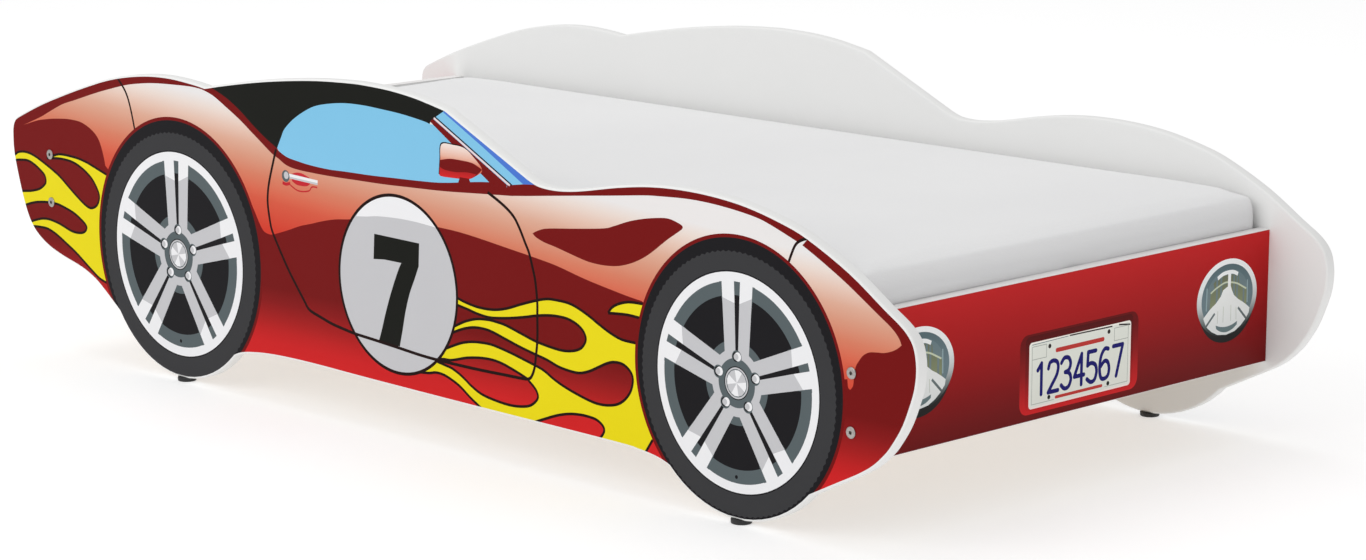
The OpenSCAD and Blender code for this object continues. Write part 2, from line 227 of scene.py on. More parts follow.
def outer_loop(panel, y):
    """The corners of a panel's outer face in order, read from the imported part."""
    shape = bmesh.new()
    shape.from_mesh(panel.data)
    bmesh.ops.remove_doubles(shape, verts=shape.verts, dist=TOUCH)
    inside = [f for f in shape.faces if any(abs(v.co.y - y) > TOUCH for v in f.verts)]
    bmesh.ops.delete(shape, geom=inside, context="FACES")
    rim = [e for e in shape.edges if len(e.link_faces) == 1]
    loops = []
    while rim:
        edge = rim.pop()
        loop = [edge.verts[0], edge.verts[1]]
        while True:
            onward = [e for e in loop[-1].link_edges if e in rim]
            if not onward:
                break
            rim.remove(onward[0])
            loop.append(onward[0].other_vert(loop[-1]))
        loops.append([v.co.copy() for v in loop[:-1]])
    shape.free()
    return max(loops, key=lambda points: sum((a - b).length for a, b in
                                             zip(points, points[1:])))


def bore(target, holes):
    """Takes drilled holes out of a piece. Each hole is a bmesh shape that is used up."""
    drill = in_scene("drill", mesh_of("drill", holes))
    cut = target.modifiers.new("bore", "BOOLEAN")
    cut.operation = "DIFFERENCE"
    cut.solver = "EXACT"
    cut.object = drill
    as_mesh(target)
    bpy.data.objects.remove(drill)


def round_bar(shape, radius, start, end, segments=32):
    """Adds a round bar between two points, closed at both ends."""
    axis = Vector(end) - Vector(start)
    turn = axis.to_track_quat("Z", "Y").to_matrix().to_4x4()
    bmesh.ops.create_cone(
        shape, cap_ends=True, segments=segments, radius1=radius, radius2=radius,
        depth=axis.length, matrix=Matrix.Translation((Vector(start) + Vector(end)) / 2) @ turn)


bolt_places = []
for bolts in ("bolts_front_right", "bolts_rear_right"):
    bolt_low, bolt_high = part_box(bolts)
    head_r = (bolt_high.x - bolt_low.x) / 2
    bolt_x = (bolt_high.x + bolt_low.x) / 2
    bolt_places += [(bolt_x, bolt_low.z + head_r), (bolt_x, bolt_high.z - head_r)]

film_edges = {}
for side, hand in (("right", -1), ("left", 1)):
    panel_low, panel_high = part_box(side + "_panel")
    outer_y = panel_low.y if hand < 0 else panel_high.y
    inner_y = panel_high.y if hand < 0 else panel_low.y
    board = bmesh.new()
    outline = [board.verts.new((p.x, outer_y, p.z))
               for p in outer_loop(parts[side + "_panel"], outer_y)]
    board.faces.new(outline)
    sides = bmesh.ops.extrude_face_region(board, geom=board.faces[:])
    bmesh.ops.translate(board, vec=(0, inner_y - outer_y, 0),
                        verts=[v for v in sides["geom"] if isinstance(v, bmesh.types.BMVert)])
    bmesh.ops.recalc_face_normals(board, faces=board.faces)
    rims = [e for e in board.edges
            if abs(e.verts[0].co.y - e.verts[1].co.y) < TOUCH]
    bmesh.ops.bevel(board, geom=rims, offset=EDGE_ROUND, offset_type="OFFSET", segments=4,
                    profile=0.5, affect="EDGES", material=-1, clamp_overlap=False)
    bmesh.ops.recalc_face_normals(board, faces=board.faces)
    flat_caps(board, 1)
    board.faces.ensure_lookup_table()
    cap = max((f for f in board.faces if f.normal.y * hand > SQUARE),
              key=lambda f: f.calc_area())
    film_edges[hand] = [(v.co.x / MM, v.co.z / MM) for v in cap.verts]
    made_board = piece(side + "_side_board", board, white_spray,
                       stands_for=[side + "_panel"])
    holes = bmesh.new()
    for hole_x, hole_z in bolt_places:
        round_bar(holes, BOLT_HOLE_R, (hole_x, inner_y - hand * DRILL_PAST, hole_z),
                  (hole_x, outer_y + hand * DRILL_PAST, hole_z))
    bore(made_board, holes)

# ---- Printed film on the side panels -------------------------------------------------------
# The car is a digital print on vinyl film, laminated to each panel's outer face and trimmed
# just inside the rounded edge. Each ink below is one colour of that print. The drawing is in
# millimetres, from a zero line 10 mm behind the bed's middle; the left side mirrors the right.

DRAWING_X = 10.0           # from the drawing's zero line to the bed's middle
FILM_OUT = 0.20 * MM       # the film's outer face, above the board
FILM_IN = 0.08 * MM        # its inner face, pressed into the paint
LINE = 3.3                 # width of a flame's outline
DOOR_LINE = 3.8            # width of the gap printed round the door
CURVE_STEPS = 5            # points along each span of a smooth line
CIRCLE_STEPS = 96          # corners of a large disc
STILL = 0.05               # points of a line closer than this are one
BEND = 0.8                 # cosine of the sharpest bend that needs no round spot
INSIDE = 1                 # asks for the cells that lie inside the shapes
CUT_CLOSE = 1e-4           # corners of cells closer than this are one

layers = []


def line(*points):
    """Points that are joined by straight lines."""
    return [Vector(p) for p in points]


def ink(name, points):
    """Lays one closed shape of an ink on the print, over all that was laid before it."""
    points = line(*points)
    turn = sum(a.x * b.y - b.x * a.y for a, b in zip(points, points[1:] + points[:1]))
    layers.append((name, points if turn > 0 else points[::-1]))


def curve(*points):
    """Points along a smooth line drawn through a few of them."""
    path = line(*points)
    drawn = []
    for i in range(len(path) - 1):
        a, b, c, d = (path[min(max(i + k, 0), len(path) - 1)] for k in (-1, 0, 1, 2))
        for k in range(CURVE_STEPS):
            t = k / CURVE_STEPS
            drawn.append((2 * b + (c - a) * t + (2 * a - 5 * b + 4 * c - d) * t * t
                          + (3 * b - a - 3 * c + d) * t * t * t) / 2)
    return drawn + [path[-1]]


def stroke(name, points, width):
    """A line of even width in one ink: a strip of short quads, with round spots at corners."""
    path = [p for i, p in enumerate(points) if i == 0 or (p - points[i - 1]).length > STILL]
    ways = [(b - a).normalized() for a, b in zip(path, path[1:])]
    for i, way in enumerate(ways):
        ends = []
        for k, other in ((i, ways[max(i - 1, 0)]), (i + 1, ways[min(i + 1, len(ways) - 1)])):
            if way.dot(other) < BEND:
                disc(name, path[k], width / 2, 16)
                other = way
            mean = (way + other).normalized()
            ends.append((path[k], Vector((-mean.y, mean.x)) * width / 2))
        (start, out), (end, out_end) = ends
        ink(name, [start - out, end - out_end, end + out_end, start + out])


def disc(name, centre, radius, steps=CIRCLE_STEPS, teeth=0.0):
    """A round spot of ink, with its edge cut into fine teeth where asked."""
    ink(name, [(centre[0] + (radius - teeth * (i % 2)) * math.cos(2 * math.pi * i / steps),
                centre[1] + (radius - teeth * (i % 2)) * math.sin(2 * math.pi * i / steps))
               for i in range(steps)])


def printed_film(prefix, edge, inks, put):
    """Cuts the layers to the film's edge and to one another, so that no two inks overlap,
    and makes each ink a thin closed piece. put(u, w, d) places a point, d above the board."""
    corners, shapes = list(edge), [list(range(len(edge)))]
    names = ["ground"]
    for ink_name, points in layers:
        shapes.append(list(range(len(corners), len(corners) + len(points))))
        corners += [tuple(p) for p in points]
        names.append(ink_name)
    flat, _, cells, _, _, origins = delaunay_2d_cdt(
        [Vector(p) for p in corners], [], shapes, INSIDE, CUT_CLOSE, True)
    by_ink = {}
    for cell, origin in zip(cells, origins):
        if 0 in origin:
            by_ink.setdefault(names[max(origin)], []).append(cell)
    for ink_name, own_cells in sorted(by_ink.items()):
        if ink_name not in inks:
            continue
        shape = bmesh.new()
        made = {}
        for cell in own_cells:
            for corner in cell:
                if corner not in made:
                    made[corner] = shape.verts.new(put(flat[corner].x, flat[corner].y, FILM_OUT))
            shape.faces.new([made[corner] for corner in cell])
        top = shape.faces[:]
        walls = bmesh.ops.extrude_face_region(shape, geom=top)
        drop = put(0, 0, -FILM_IN) - put(0, 0, FILM_OUT)
        bmesh.ops.translate(shape, vec=drop, verts=[
            v for v in walls["geom"] if isinstance(v, bmesh.types.BMVert)])
        bmesh.ops.recalc_face_normals(shape, faces=shape.faces)
        piece(f"{prefix}_{ink_name}", shape, inks[ink_name])


# the middles of the two printed wheels
REAR_HUB = (-456, 165.5)
FRONT_HUB = (537, 157.5)

# the dark lower half of the body, up to the line where the sky's reflection ends
hump = curve((-790, 296), (-760, 305), (-740, 309), (-720, 312), (-700, 314), (-684, 315),
    (-660, 314), (-640, 308), (-626, 300), (-618, 290), (-612, 276), (-608, 262))
door_shine = curve((-310, 260), (-304, 251), (-296, 239), (-288, 227), (-282, 220), (-276, 217),
    (-266, 216), (-254, 219), (-232, 226), (-209, 234), (-186, 240), (-164, 246), (-141, 251),
    (-118, 254), (-60, 262), (0, 266), (50, 266), (100, 264), (180, 256), (209, 253), (251, 248),
    (299, 239), (347, 232), (370, 229), (390, 227))
nose_shine = curve((699, 188), (700, 180), (702, 177.6), (704, 178), (707, 182), (708, 188),
    (709, 196), (711, 204), (715, 210), (720, 216), (726, 220), (732, 222), (740, 223), (750, 224),
    (760, 227), (768, 231), (774, 235.6))
ink("shade", [(-840, 290)] + hump + [REAR_HUB] + door_shine + [FRONT_HUB]
    + nose_shine + [(850, 236), (850, -40), (-840, -40)])

# side window, then the dark bands that frame it and follow the body's upper edge
window_top = curve((-250, 326), (-242, 340), (-235, 351), (-219, 364), (-200, 375), (-177, 385),
    (-150, 391), (-119, 395), (-85, 396), (-54, 395), (-15, 393), (23, 389), (36, 386.5))
rear_band = curve((-790, 296), (-750, 311), (-730, 320), (-700, 333), (-670, 342), (-620, 357),
    (-570, 370), (-540, 376), (-500, 381), (-455, 383.5), (-420, 384.5), (-400, 383.5))
ink("contour", [(-850, 270)] + rear_band + [(-400, 450), (-850, 450)])
under_roof = curve((-404, 384.5), (-377, 378), (-350, 366), (-323, 353), (-300, 340), (-277, 327),
    (-261, 318), (-248, 313))
ink("contour", under_roof + [(-249, 326), (-262, 350), (-404, 420)])
ink("window", window_top + [(60, 386), (148, 328), (60, 316), (-150, 308), (-236, 312)])
sill_low = curve((-250, 314), (-234, 307), (-216, 304), (-186, 303), (-141, 303), (-95, 304),
    (-50, 305), (-4, 307), (60, 310), (120, 314.5), (180, 319))
sill_high = curve((180, 333), (127, 329), (60, 320), (18, 317), (-27, 315), (-73, 313),
    (-118, 312), (-152, 311), (-186, 312), (-209, 314), (-232, 317), (-250, 324))
ink("contour", sill_low + sill_high)
ink("contour", curve((-608, 262), (-618, 290), (-626, 300)) + [(-640, 200), (-600, 200)])

# windscreen, with the darker edge of its glass, then the roof over all of it
ink("window", [(38, 391), (50, 430), (120, 430), (260, 350), (240, 333), (168, 328)])
ink("glass_edge", [(60, 403), (128, 370), (198, 334), (250, 334), (250, 355), (100, 430)])
ink("contour", curve((178, 319), (204, 322), (251, 328), (299, 334), (347, 340), (394, 346),
    (418, 348), (466, 350.5), (513, 349), (560, 344), (586, 338), (628, 324)) + [(641, 332),
    (640, 370), (460, 400), (300, 380), (236, 348), (222, 337), (196, 334.5), (168, 330)])
ink("contour", curve((633, 322), (650, 314), (672, 303), (700, 288), (740, 264), (760, 252),
    (770, 243), (774, 236)) + [(780, 226), (850, 226), (850, 300), (720, 360), (641, 330)])
ink("contour", [(34, 391), (42, 393.5), (169, 331), (168, 322), (146, 326)])
roof_low = curve((-381, 388), (-350, 378), (-323, 365), (-300, 351), (-277, 338), (-258, 329),
    (-249, 325))
ink("graphite", roof_low + window_top + [(38, 391), (61.5, 404.5), (80, 450), (-381, 450)])
stroke("blush", line((43.5, 394.5), (174, 330.5)), 2.2)
stroke("outline", line((46, 395.8), (178, 331.2)), 1.8)

# outside mirror
mirror_rim = curve((54, 348), (56.5, 365), (77, 366.5), (96, 365), (111, 357), (127, 343),
    (115, 334), (100, 329), (61, 327), (52, 328))
ink("outline", [p + Vector((-1.4, 1.4)) for p in mirror_rim])
ink("mirror_top", mirror_rim)
ink("contour", curve((53, 346), (70, 349.5), (90, 350), (110, 349), (124, 344.5))
    + curve((127, 343), (115, 334), (100, 329), (61, 327), (52, 328)))
ink("mirror_glow", curve((52.5, 338), (62, 335.5), (80, 335), (100, 337), (117, 336.5))
    + curve((112, 332.5), (100, 329), (61, 327), (52, 328)))
ink("contour", [(84, 321), (108, 323), (104, 330), (88, 330)])

# bonnet leaf
ink("contour", curve((212, 280), (223, 285), (239, 289), (287, 295), (330, 301), (347, 306),
    (370, 314), (394, 320), (418, 324), (432, 325), (444, 323), (453, 320), (454, 317), (449, 313),
    (430, 301), (406, 284), (389, 274), (370, 266), (351, 261), (332, 259), (313, 259), (294, 261),
    (251, 269), (232, 272), (218, 276), (212, 280)))

# flames of the front wing
wing_top = curve((60, 188), (80, 186), (95, 183), (115, 180.5), (135, 180.5), (152, 182.5),
    (170, 187), (190, 194), (215, 202), (235, 207), (252, 208), (270, 207.5), (285, 204.5),
    (305, 197.5), (322, 190), (340, 183), (355, 179), (367, 178), (384, 178))
tail_low = curve((10, 86), (29, 88), (41, 90.5), (55, 90), (70, 86), (85, 80), (102, 70),
    (117, 62.5), (124, 58))
ink("flame", [(20, 150)] + wing_top + [FRONT_HUB, (404, 66), (406, 70.5), (397, 58), (396, 40),
    (124, 40)] + tail_low[::-1])
tongue_high = curve((66, 179.5), (97, 175.5), (115, 172.5), (135, 171), (152, 172.5), (175, 176),
    (200, 181), (215, 184.5), (235, 188), (252, 189.5), (270, 189), (285, 185), (295, 179),
    (299.5, 171), (297, 164), (290, 157.5), (277, 153), (260, 151), (240, 152), (215, 155),
    (190, 160.5), (165, 166), (150, 167.5), (135, 168), (115, 166), (97, 161), (85, 156),
    (66, 147))
tongue_middle = curve((62, 139), (82, 147.5), (97, 152.5), (112, 155.5), (130, 156), (145, 154),
    (165, 149.5), (190, 144), (215, 139.5), (235, 136), (255, 131), (275, 129), (290, 129.5),
    (305, 134), (320, 141), (335, 148), (347, 151), (360, 150.5), (370, 145.5), (375, 139),
    (375, 130), (371, 120), (362, 110), (350, 103), (335, 99.5), (320, 98.5), (305, 100),
    (285, 104), (265, 109), (247, 115), (230, 122.5), (217, 126), (202, 129), (177, 134),
    (152, 138), (135, 139.5), (110, 138), (90, 134), (72, 127.5), (54, 120))
band_low = curve((44, 107), (56, 109), (67, 109.5), (80, 112.5), (97, 117), (120, 120.5),
    (140, 121.5), (157, 120), (175, 116), (190, 112), (203, 108))
tongue_low = curve((44, 104), (65, 101), (72, 99.5), (84, 95), (94, 90), (105, 84), (122, 77.5),
    (145, 74), (170, 72.5), (190, 74), (205, 77.5), (215, 84), (219, 90), (217, 96), (212, 101),
    (203, 107))
lick = curve((336, 205.5), (342, 212.5), (352, 218), (365, 222), (377, 223.5), (398, 224))
lick_low = curve((394, 207), (370, 208), (352, 207), (336, 205.5))
sill_tongue = curve((212, 59), (230, 66), (252, 74), (272, 79), (290, 81), (305, 81), (317, 79.5),
    (326, 75), (329, 70), (327, 65), (321, 58))
ink("shade", tongue_high)
ink("shade", tongue_middle)
ink("shade", band_low + [(120, 106), (50, 105)])
ink("shade", tongue_low + [(120, 106)])
ink("shade", sill_tongue + [(300, 40), (230, 40)])
ink("shade", [(408, 71), (396, 57), (392, 40), (440, 40), (440, 60)])
ink("flame", lick + lick_low)
for outline in (wing_top, tail_low, tongue_high, tongue_middle, band_low, tongue_low, lick,
                lick_low, sill_tongue, line((407, 72), (395, 55))):
    stroke("outline", outline, LINE)

# flames of the tail
tail_top = curve((-835, 246), (-814, 253), (-804, 258), (-790, 260), (-776, 259), (-760, 255),
    (-740, 248))
strip_top = curve((-739, 257), (-718, 264), (-706, 266), (-690, 266), (-670, 265), (-650, 262),
    (-630, 257), (-600, 249))
belly = curve((-790, 158), (-774, 161), (-760, 162), (-744, 162), (-730, 159), (-716, 154),
    (-700, 147), (-680, 138), (-660, 127), (-640, 116), (-630, 111), (-620, 108), (-604, 105))
drop = curve((-739, 257), (-718, 259.4), (-700, 260), (-684, 259), (-670, 256), (-654, 250),
    (-640, 242), (-630, 232), (-624, 222), (-625, 214), (-630, 207), (-638, 203), (-646, 202),
    (-656, 205), (-670, 212), (-690, 223.5), (-710, 235.5), (-727, 243), (-740, 248))
fin = curve((-830, 240), (-812, 246), (-800, 248), (-784, 249), (-770, 246), (-756, 240),
    (-746, 234), (-743, 228), (-744, 223), (-750, 218), (-760, 213), (-776, 209), (-790, 207),
    (-820, 203))
keel = curve((-810, 180), (-791, 188), (-770, 194), (-750, 197), (-734, 198), (-718, 198),
    (-700, 195), (-680, 190), (-664, 183), (-656, 178), (-654, 174), (-658, 169), (-666, 166),
    (-678, 165), (-690, 166), (-706, 170), (-720, 173), (-738, 175), (-754, 174), (-770, 170),
    (-790, 164))
ink("flame", tail_top + strip_top + [REAR_HUB] + belly[::-1] + [(-840, 158)])
for tongue in (drop + [(-754, 254)], fin, keel):
    ink("shade", tongue)
for outline in (tail_top, strip_top, belly, drop, fin, keel):
    stroke("outline", outline, LINE)

# start number: a light roundel, its upper part in the sky's reflection, and the figure
ROUNDEL = (-27, 186.5)
ROUNDEL_R = 105.5
disc("outline", ROUNDEL, ROUNDEL_R + 4)
disc("silver", ROUNDEL, ROUNDEL_R)
roundel_shine = [(ROUNDEL[0] + ROUNDEL_R * math.cos(math.radians(a)),
                  ROUNDEL[1] + ROUNDEL_R * math.sin(math.radians(a))) for a in range(48, 135, 3)]
ink("white", roundel_shine + curve((-101, 260), (-82, 262), (-61, 265), (-27, 267), (7, 267),
    (43, 265)))
number_layer = len(layers)
ink("graphite", [(-68, 243), (14, 242), (12.5, 213)] + curve((12, 213), (4.5, 197), (-4.5, 179),
    (-12.5, 156), (-18, 134), (-24, 112)) + curve((-63, 112), (-57, 127), (-50, 147), (-41, 170),
    (-32, 190), (-24, 206), (-19, 214)) + [(-50, 214), (-70, 212)])

# panel gaps: the door, the tail and the bonnet
stroke("outline", curve((-252, 324), (-254, 320), (-259, 306), (-266, 286), (-270, 270),
    (-271, 254), (-268, 236), (-264, 222), (-254, 206), (-243, 190), (-232, 175), (-216, 156),
    (-202, 140), (-197, 134), (-189, 130), (-173, 126), (-152, 121), (-132, 118), (-107, 115),
    (-73, 113), (-27, 110), (18, 107), (60, 106), (115, 106), (165, 107), (190, 107.5), (204, 109),
    (210, 115), (214, 125), (216, 137), (218, 150), (219, 165), (219, 185), (219, 202), (216, 225),
    (212, 239), (206, 256), (199, 268), (190, 283), (181, 294.5), (169, 303), (154, 310.5),
    (136, 318)), DOOR_LINE)
stroke("outline", curve((-577, 381), (-560, 365), (-550, 345), (-540, 310)), LINE)
stroke("outline", curve((642, 331), (630, 326.5), (623, 321), (618, 312), (611, 296)), LINE)

# door handle
ink("handle_red", curve((-225, 296), (-215, 299.5), (-203, 300), (-189, 296.5))
    + curve((-187, 289), (-195, 285), (-212, 284.5), (-222, 288)))
stroke("handle_red", curve((-226, 283), (-215, 278.5), (-204, 277.5), (-190, 280), (-184, 285.5),
    (-174, 286)), 1.8)
stroke("handle_red", curve((-241, 284), (-234, 283), (-226, 285)), 4.0)
stroke("silver", line((-230, 294), (-173, 292)), 6.0)
stroke("white", line((-228, 294.8), (-173, 293.2)), 3.2)
disc("steel", (-234.5, 293), 7.4, 32)
disc("silver", (-233.5, 294), 4.6, 24)

# wheels, printed flat: arch, tyre with its tread's teeth, rim, five pairs of spokes and hub
SPOKES = (90, 18, -54, -126, 162)
TREAD_TEETH = 220


def wheel(hub, size):
    """One printed wheel. Its sizes are for the front wheel, and size scales them."""
    def at(turn, out, across):
        """A point out from the hub along a spoke, and across it."""
        a = math.radians(turn)
        return Vector((hub[0] + size * (out * math.cos(a) - across * math.sin(a)),
                       hub[1] + size * (out * math.sin(a) + across * math.cos(a))))

    disc("contour", (hub[0] + size, hub[1] + 4.5 * size), 159 * size, 144)
    disc("black", (hub[0] + size, hub[1] + 4.5 * size), 155 * size, 144)
    disc("tyre", (hub[0], hub[1] - 1.5 * size), 147 * size, TREAD_TEETH, 1.8 * size)
    for name, radius in (("black", 123.6), ("white", 122), ("steel", 111.5), ("black", 96)):
        disc(name, hub, radius * size)
    for turn in SPOKES:
        gap = turn + 36
        for way in (-1, 1):
            ink("steel", [at(gap + way * 20, 46, 0), at(gap + way * 22, 100, 0),
                          at(gap + way * 22, 112, 0), at(gap + way * 30, 112, 0),
                          at(gap + way * 30, 46, 0)])
    disc("steel", hub, 47 * size, 60)
    disc("silver", hub, 37.5 * size, 60)
    for turn in SPOKES:
        ink("white", [at(turn, 113, -23.5), at(turn, 113, 23.5), at(turn, 30, 18),
                      at(turn, 30, -18)])
        ink("silver", [at(turn, 96, -22.3), at(turn, 88, -4), at(turn, 88, 4),
                       at(turn, 92, 22), at(turn, 24, 17.6), at(turn, 24, -17.6)])
        ink("steel", [at(turn, 112, -4.6), at(turn, 112, 4.6), at(turn, 92, 3.8),
                      at(turn, 92, -3.8)])
        ink("black", [at(turn, 97, -3.9), at(turn, 97, 3.9), at(turn, 30, 1.9),
                      at(turn, 30, -1.9)])
    disc("steel", hub, 27.5 * size, 60)
    for turn in SPOKES:
        lug = at(turn, 29, 0)
        disc("steel", lug, 7.4 * size, 24)
        disc("black", lug + Vector((-0.8, 0)) * size, 5.6 * size, 24)
        disc("white", lug + Vector((1.6, 0.4)) * size, 5.0 * size, 24)
        disc("silver", lug + Vector((-1.0, 0)) * size, 3.6 * size, 24)
    disc("black", hub, 18.6 * size, 48)
    disc("silver", hub, 17.4 * size, 48)
    disc("steel", hub, 15.6 * size, 48)
    for k in range(8):
        start = 45 * k + 12
        ink("white" if k % 2 else "silver",
            [hub, at(start, 14.6, 0), at(start + 22, 14.8, 0), at(start + 45, 14.6, 0)])
    disc("black", at(-90, 104.5, 0), 2.2 * size, 16)


wheel(REAR_HUB, 1.078)
wheel(FRONT_HUB, 1.0)

for hole_x, hole_z in bolt_places:
    disc("bolt_hole", (hole_x / MM - DRAWING_X, hole_z / MM), BOLT_HOLE_R / MM, 32)

shade_fade = [(60, (205, 32, 34)), (80, (200, 32, 34)), (95, (186, 30, 31)),
              (110, (164, 27, 27)), (130, (135, 21, 22)), (150, (115, 14, 14))]
body_fade = [(170, (205, 44, 36)), (205, (207, 60, 44)), (242, (210, 89, 66)),
             (252, (213, 102, 77)), (272, (211, 125, 98)), (292, (213, 150, 125)),
             (308, (217, 168, 146)), (324, (225, 193, 177)), (340, (230, 215, 206)),
             (354, (230, 227, 226))]
side_inks = {
    "ground": paint("body_fade", body_fade, lean=0.06),
    "shade": paint("body_shade", shade_fade),
    "contour": paint("body_contour", [(0, (115, 14, 14))]),
    "flame": paint("flame_yellow", [(50, (229, 212, 18)), (270, (230, 215, 26))]),
    "outline": paint("outline_ink", [(0, (30, 12, 10))]),
    "graphite": paint("graphite_ink", [(0, (22, 23, 19))], drift=0.12),
    "window": paint("window_ink", [(310, (129, 194, 228)), (400, (126, 192, 226))]),
    "glass_edge": paint("glass_edge_ink", [(330, (72, 116, 204)), (400, (80, 124, 208))]),
    "white": paint("rim_white_ink", [(0, (234, 234, 236))]),
    "silver": paint("silver_ink", [(0, (194, 194, 197))]),
    "tyre": paint("tyre_ink", [(0, (58, 58, 60))], drift=0.1, gloss=0.42),
    "black": paint("black_ink", [(0, (26, 25, 28))]),
    "steel": paint("steel_ink", [(0, (88, 98, 101))], drift=0.1),
    "blush": paint("blush_ink", [(330, (236, 208, 206)), (395, (240, 214, 212))]),
    "mirror_top": paint("mirror_top_ink", [(345, (214, 110, 84)), (352, (228, 176, 156)),
                                           (366, (238, 222, 214))]),
    "mirror_glow": paint("mirror_glow_ink", [(326, (214, 38, 40)), (338, (170, 30, 32))]),
    "handle_red": paint("handle_red_ink", [(277, (188, 34, 44)), (300, (196, 44, 54))]),
}

for side, hand in (("right", -1), ("left", 1)):
    outer_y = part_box("right_panel")[0].y if hand < 0 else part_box("left_panel")[1].y
    if hand > 0:
        # the figure is drawn again, so that it also reads rightly from the left
        figure_name, figure = layers[number_layer]
        layers[number_layer] = (figure_name, [Vector((2 * ROUNDEL[0] - p.x, p.y))
                                              for p in figure][::-1])

    def on_side(u, w, out, y=outer_y, way=hand):
        """A point of the drawing, out from the board's outer face."""
        return Vector(((u + DRAWING_X) * MM, y + way * out, w * MM))

    edge = [(x - DRAWING_X, z) for x, z in film_edges[hand]]
    area = sum(a[0] * b[1] - b[0] * a[1] for a, b in zip(edge, edge[1:] + edge[:1]))
    printed_film(side + "_film", edge if area > 0 else edge[::-1], side_inks, on_side)

# ---- Front and rear boards -----------------------------------------------------------------
# Two plain boards of 16 mm melamine chipboard join the sides. Each has the same film on its
# outer face: fading red, and on the front two round headlamps and a number plate.

NAVY_LINE = 5.0            # width of the plate's figures' strokes, in millimetres


def strip(low, high, rounding, segments=2):
    """A square bar between two corners, with its edges rounded."""
    shape = bmesh.new()
    bmesh.ops.create_cube(shape, size=1.0)
    bmesh.ops.scale(shape, vec=[high[i] - low[i] for i in range(3)], verts=shape.verts)
    bmesh.ops.translate(shape, vec=[(high[i] + low[i]) / 2 for i in range(3)],
                        verts=shape.verts)
    bmesh.ops.bevel(shape, geom=shape.edges, offset=rounding, offset_type="OFFSET",
                    segments=segments, profile=0.5, affect="EDGES", material=-1)
    return shape


def join_shapes(shapes):
    """Puts several closed shapes in one mesh."""
    whole = bmesh.new()
    for shape in shapes:
        data = mesh_of("part_of_piece", shape)
        whole.from_mesh(data)
        bpy.data.meshes.remove(data)
    return whole


melamine = paint("white_melamine", [(97, (228, 228, 227)), (300, (233, 233, 232))],
                 drift=0.03, gloss=0.38, peel=900.0)
band_white = paint("edge_band_white", [(97, (238, 235, 234)), (300, (240, 238, 237))],
                   drift=0.03, gloss=0.3, peel=260.0)
for place in ("front", "rear"):
    put_on(place + "_board", melamine)
    low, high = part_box(place + "_edge_bands")
    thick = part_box(place + "_board")[0].z - low.z
    bands = [strip((low.x, low.y, z), (high.x, high.y, z + thick), thick * 0.45)
             for z in (low.z, high.z - thick)]
    piece(place + "_edge_strips", join_shapes(bands), band_white,
          stands_for=[place + "_edge_bands"])


def oval(name, centre, wide, high, steps=72):
    """An upright oval of ink."""
    ink(name, [(centre[0] + wide * math.cos(2 * math.pi * i / steps),
                centre[1] + high * math.sin(2 * math.pi * i / steps)) for i in range(steps)])


def soft_corners(name, low, high, radius):
    """A rectangle of ink with round corners."""
    points = []
    for turn, x, y in ((0, high[0], high[1]), (90, low[0], high[1]), (180, low[0], low[1]),
                       (270, high[0], low[1])):
        centre = (x - math.copysign(radius, x - (low[0] + high[0]) / 2),
                  y - math.copysign(radius, y - (low[1] + high[1]) / 2))
        points += [(centre[0] + radius * math.cos(math.radians(turn + a)),
                    centre[1] + radius * math.sin(math.radians(turn + a)))
                   for a in range(0, 91, 15)]
    ink(name, points)


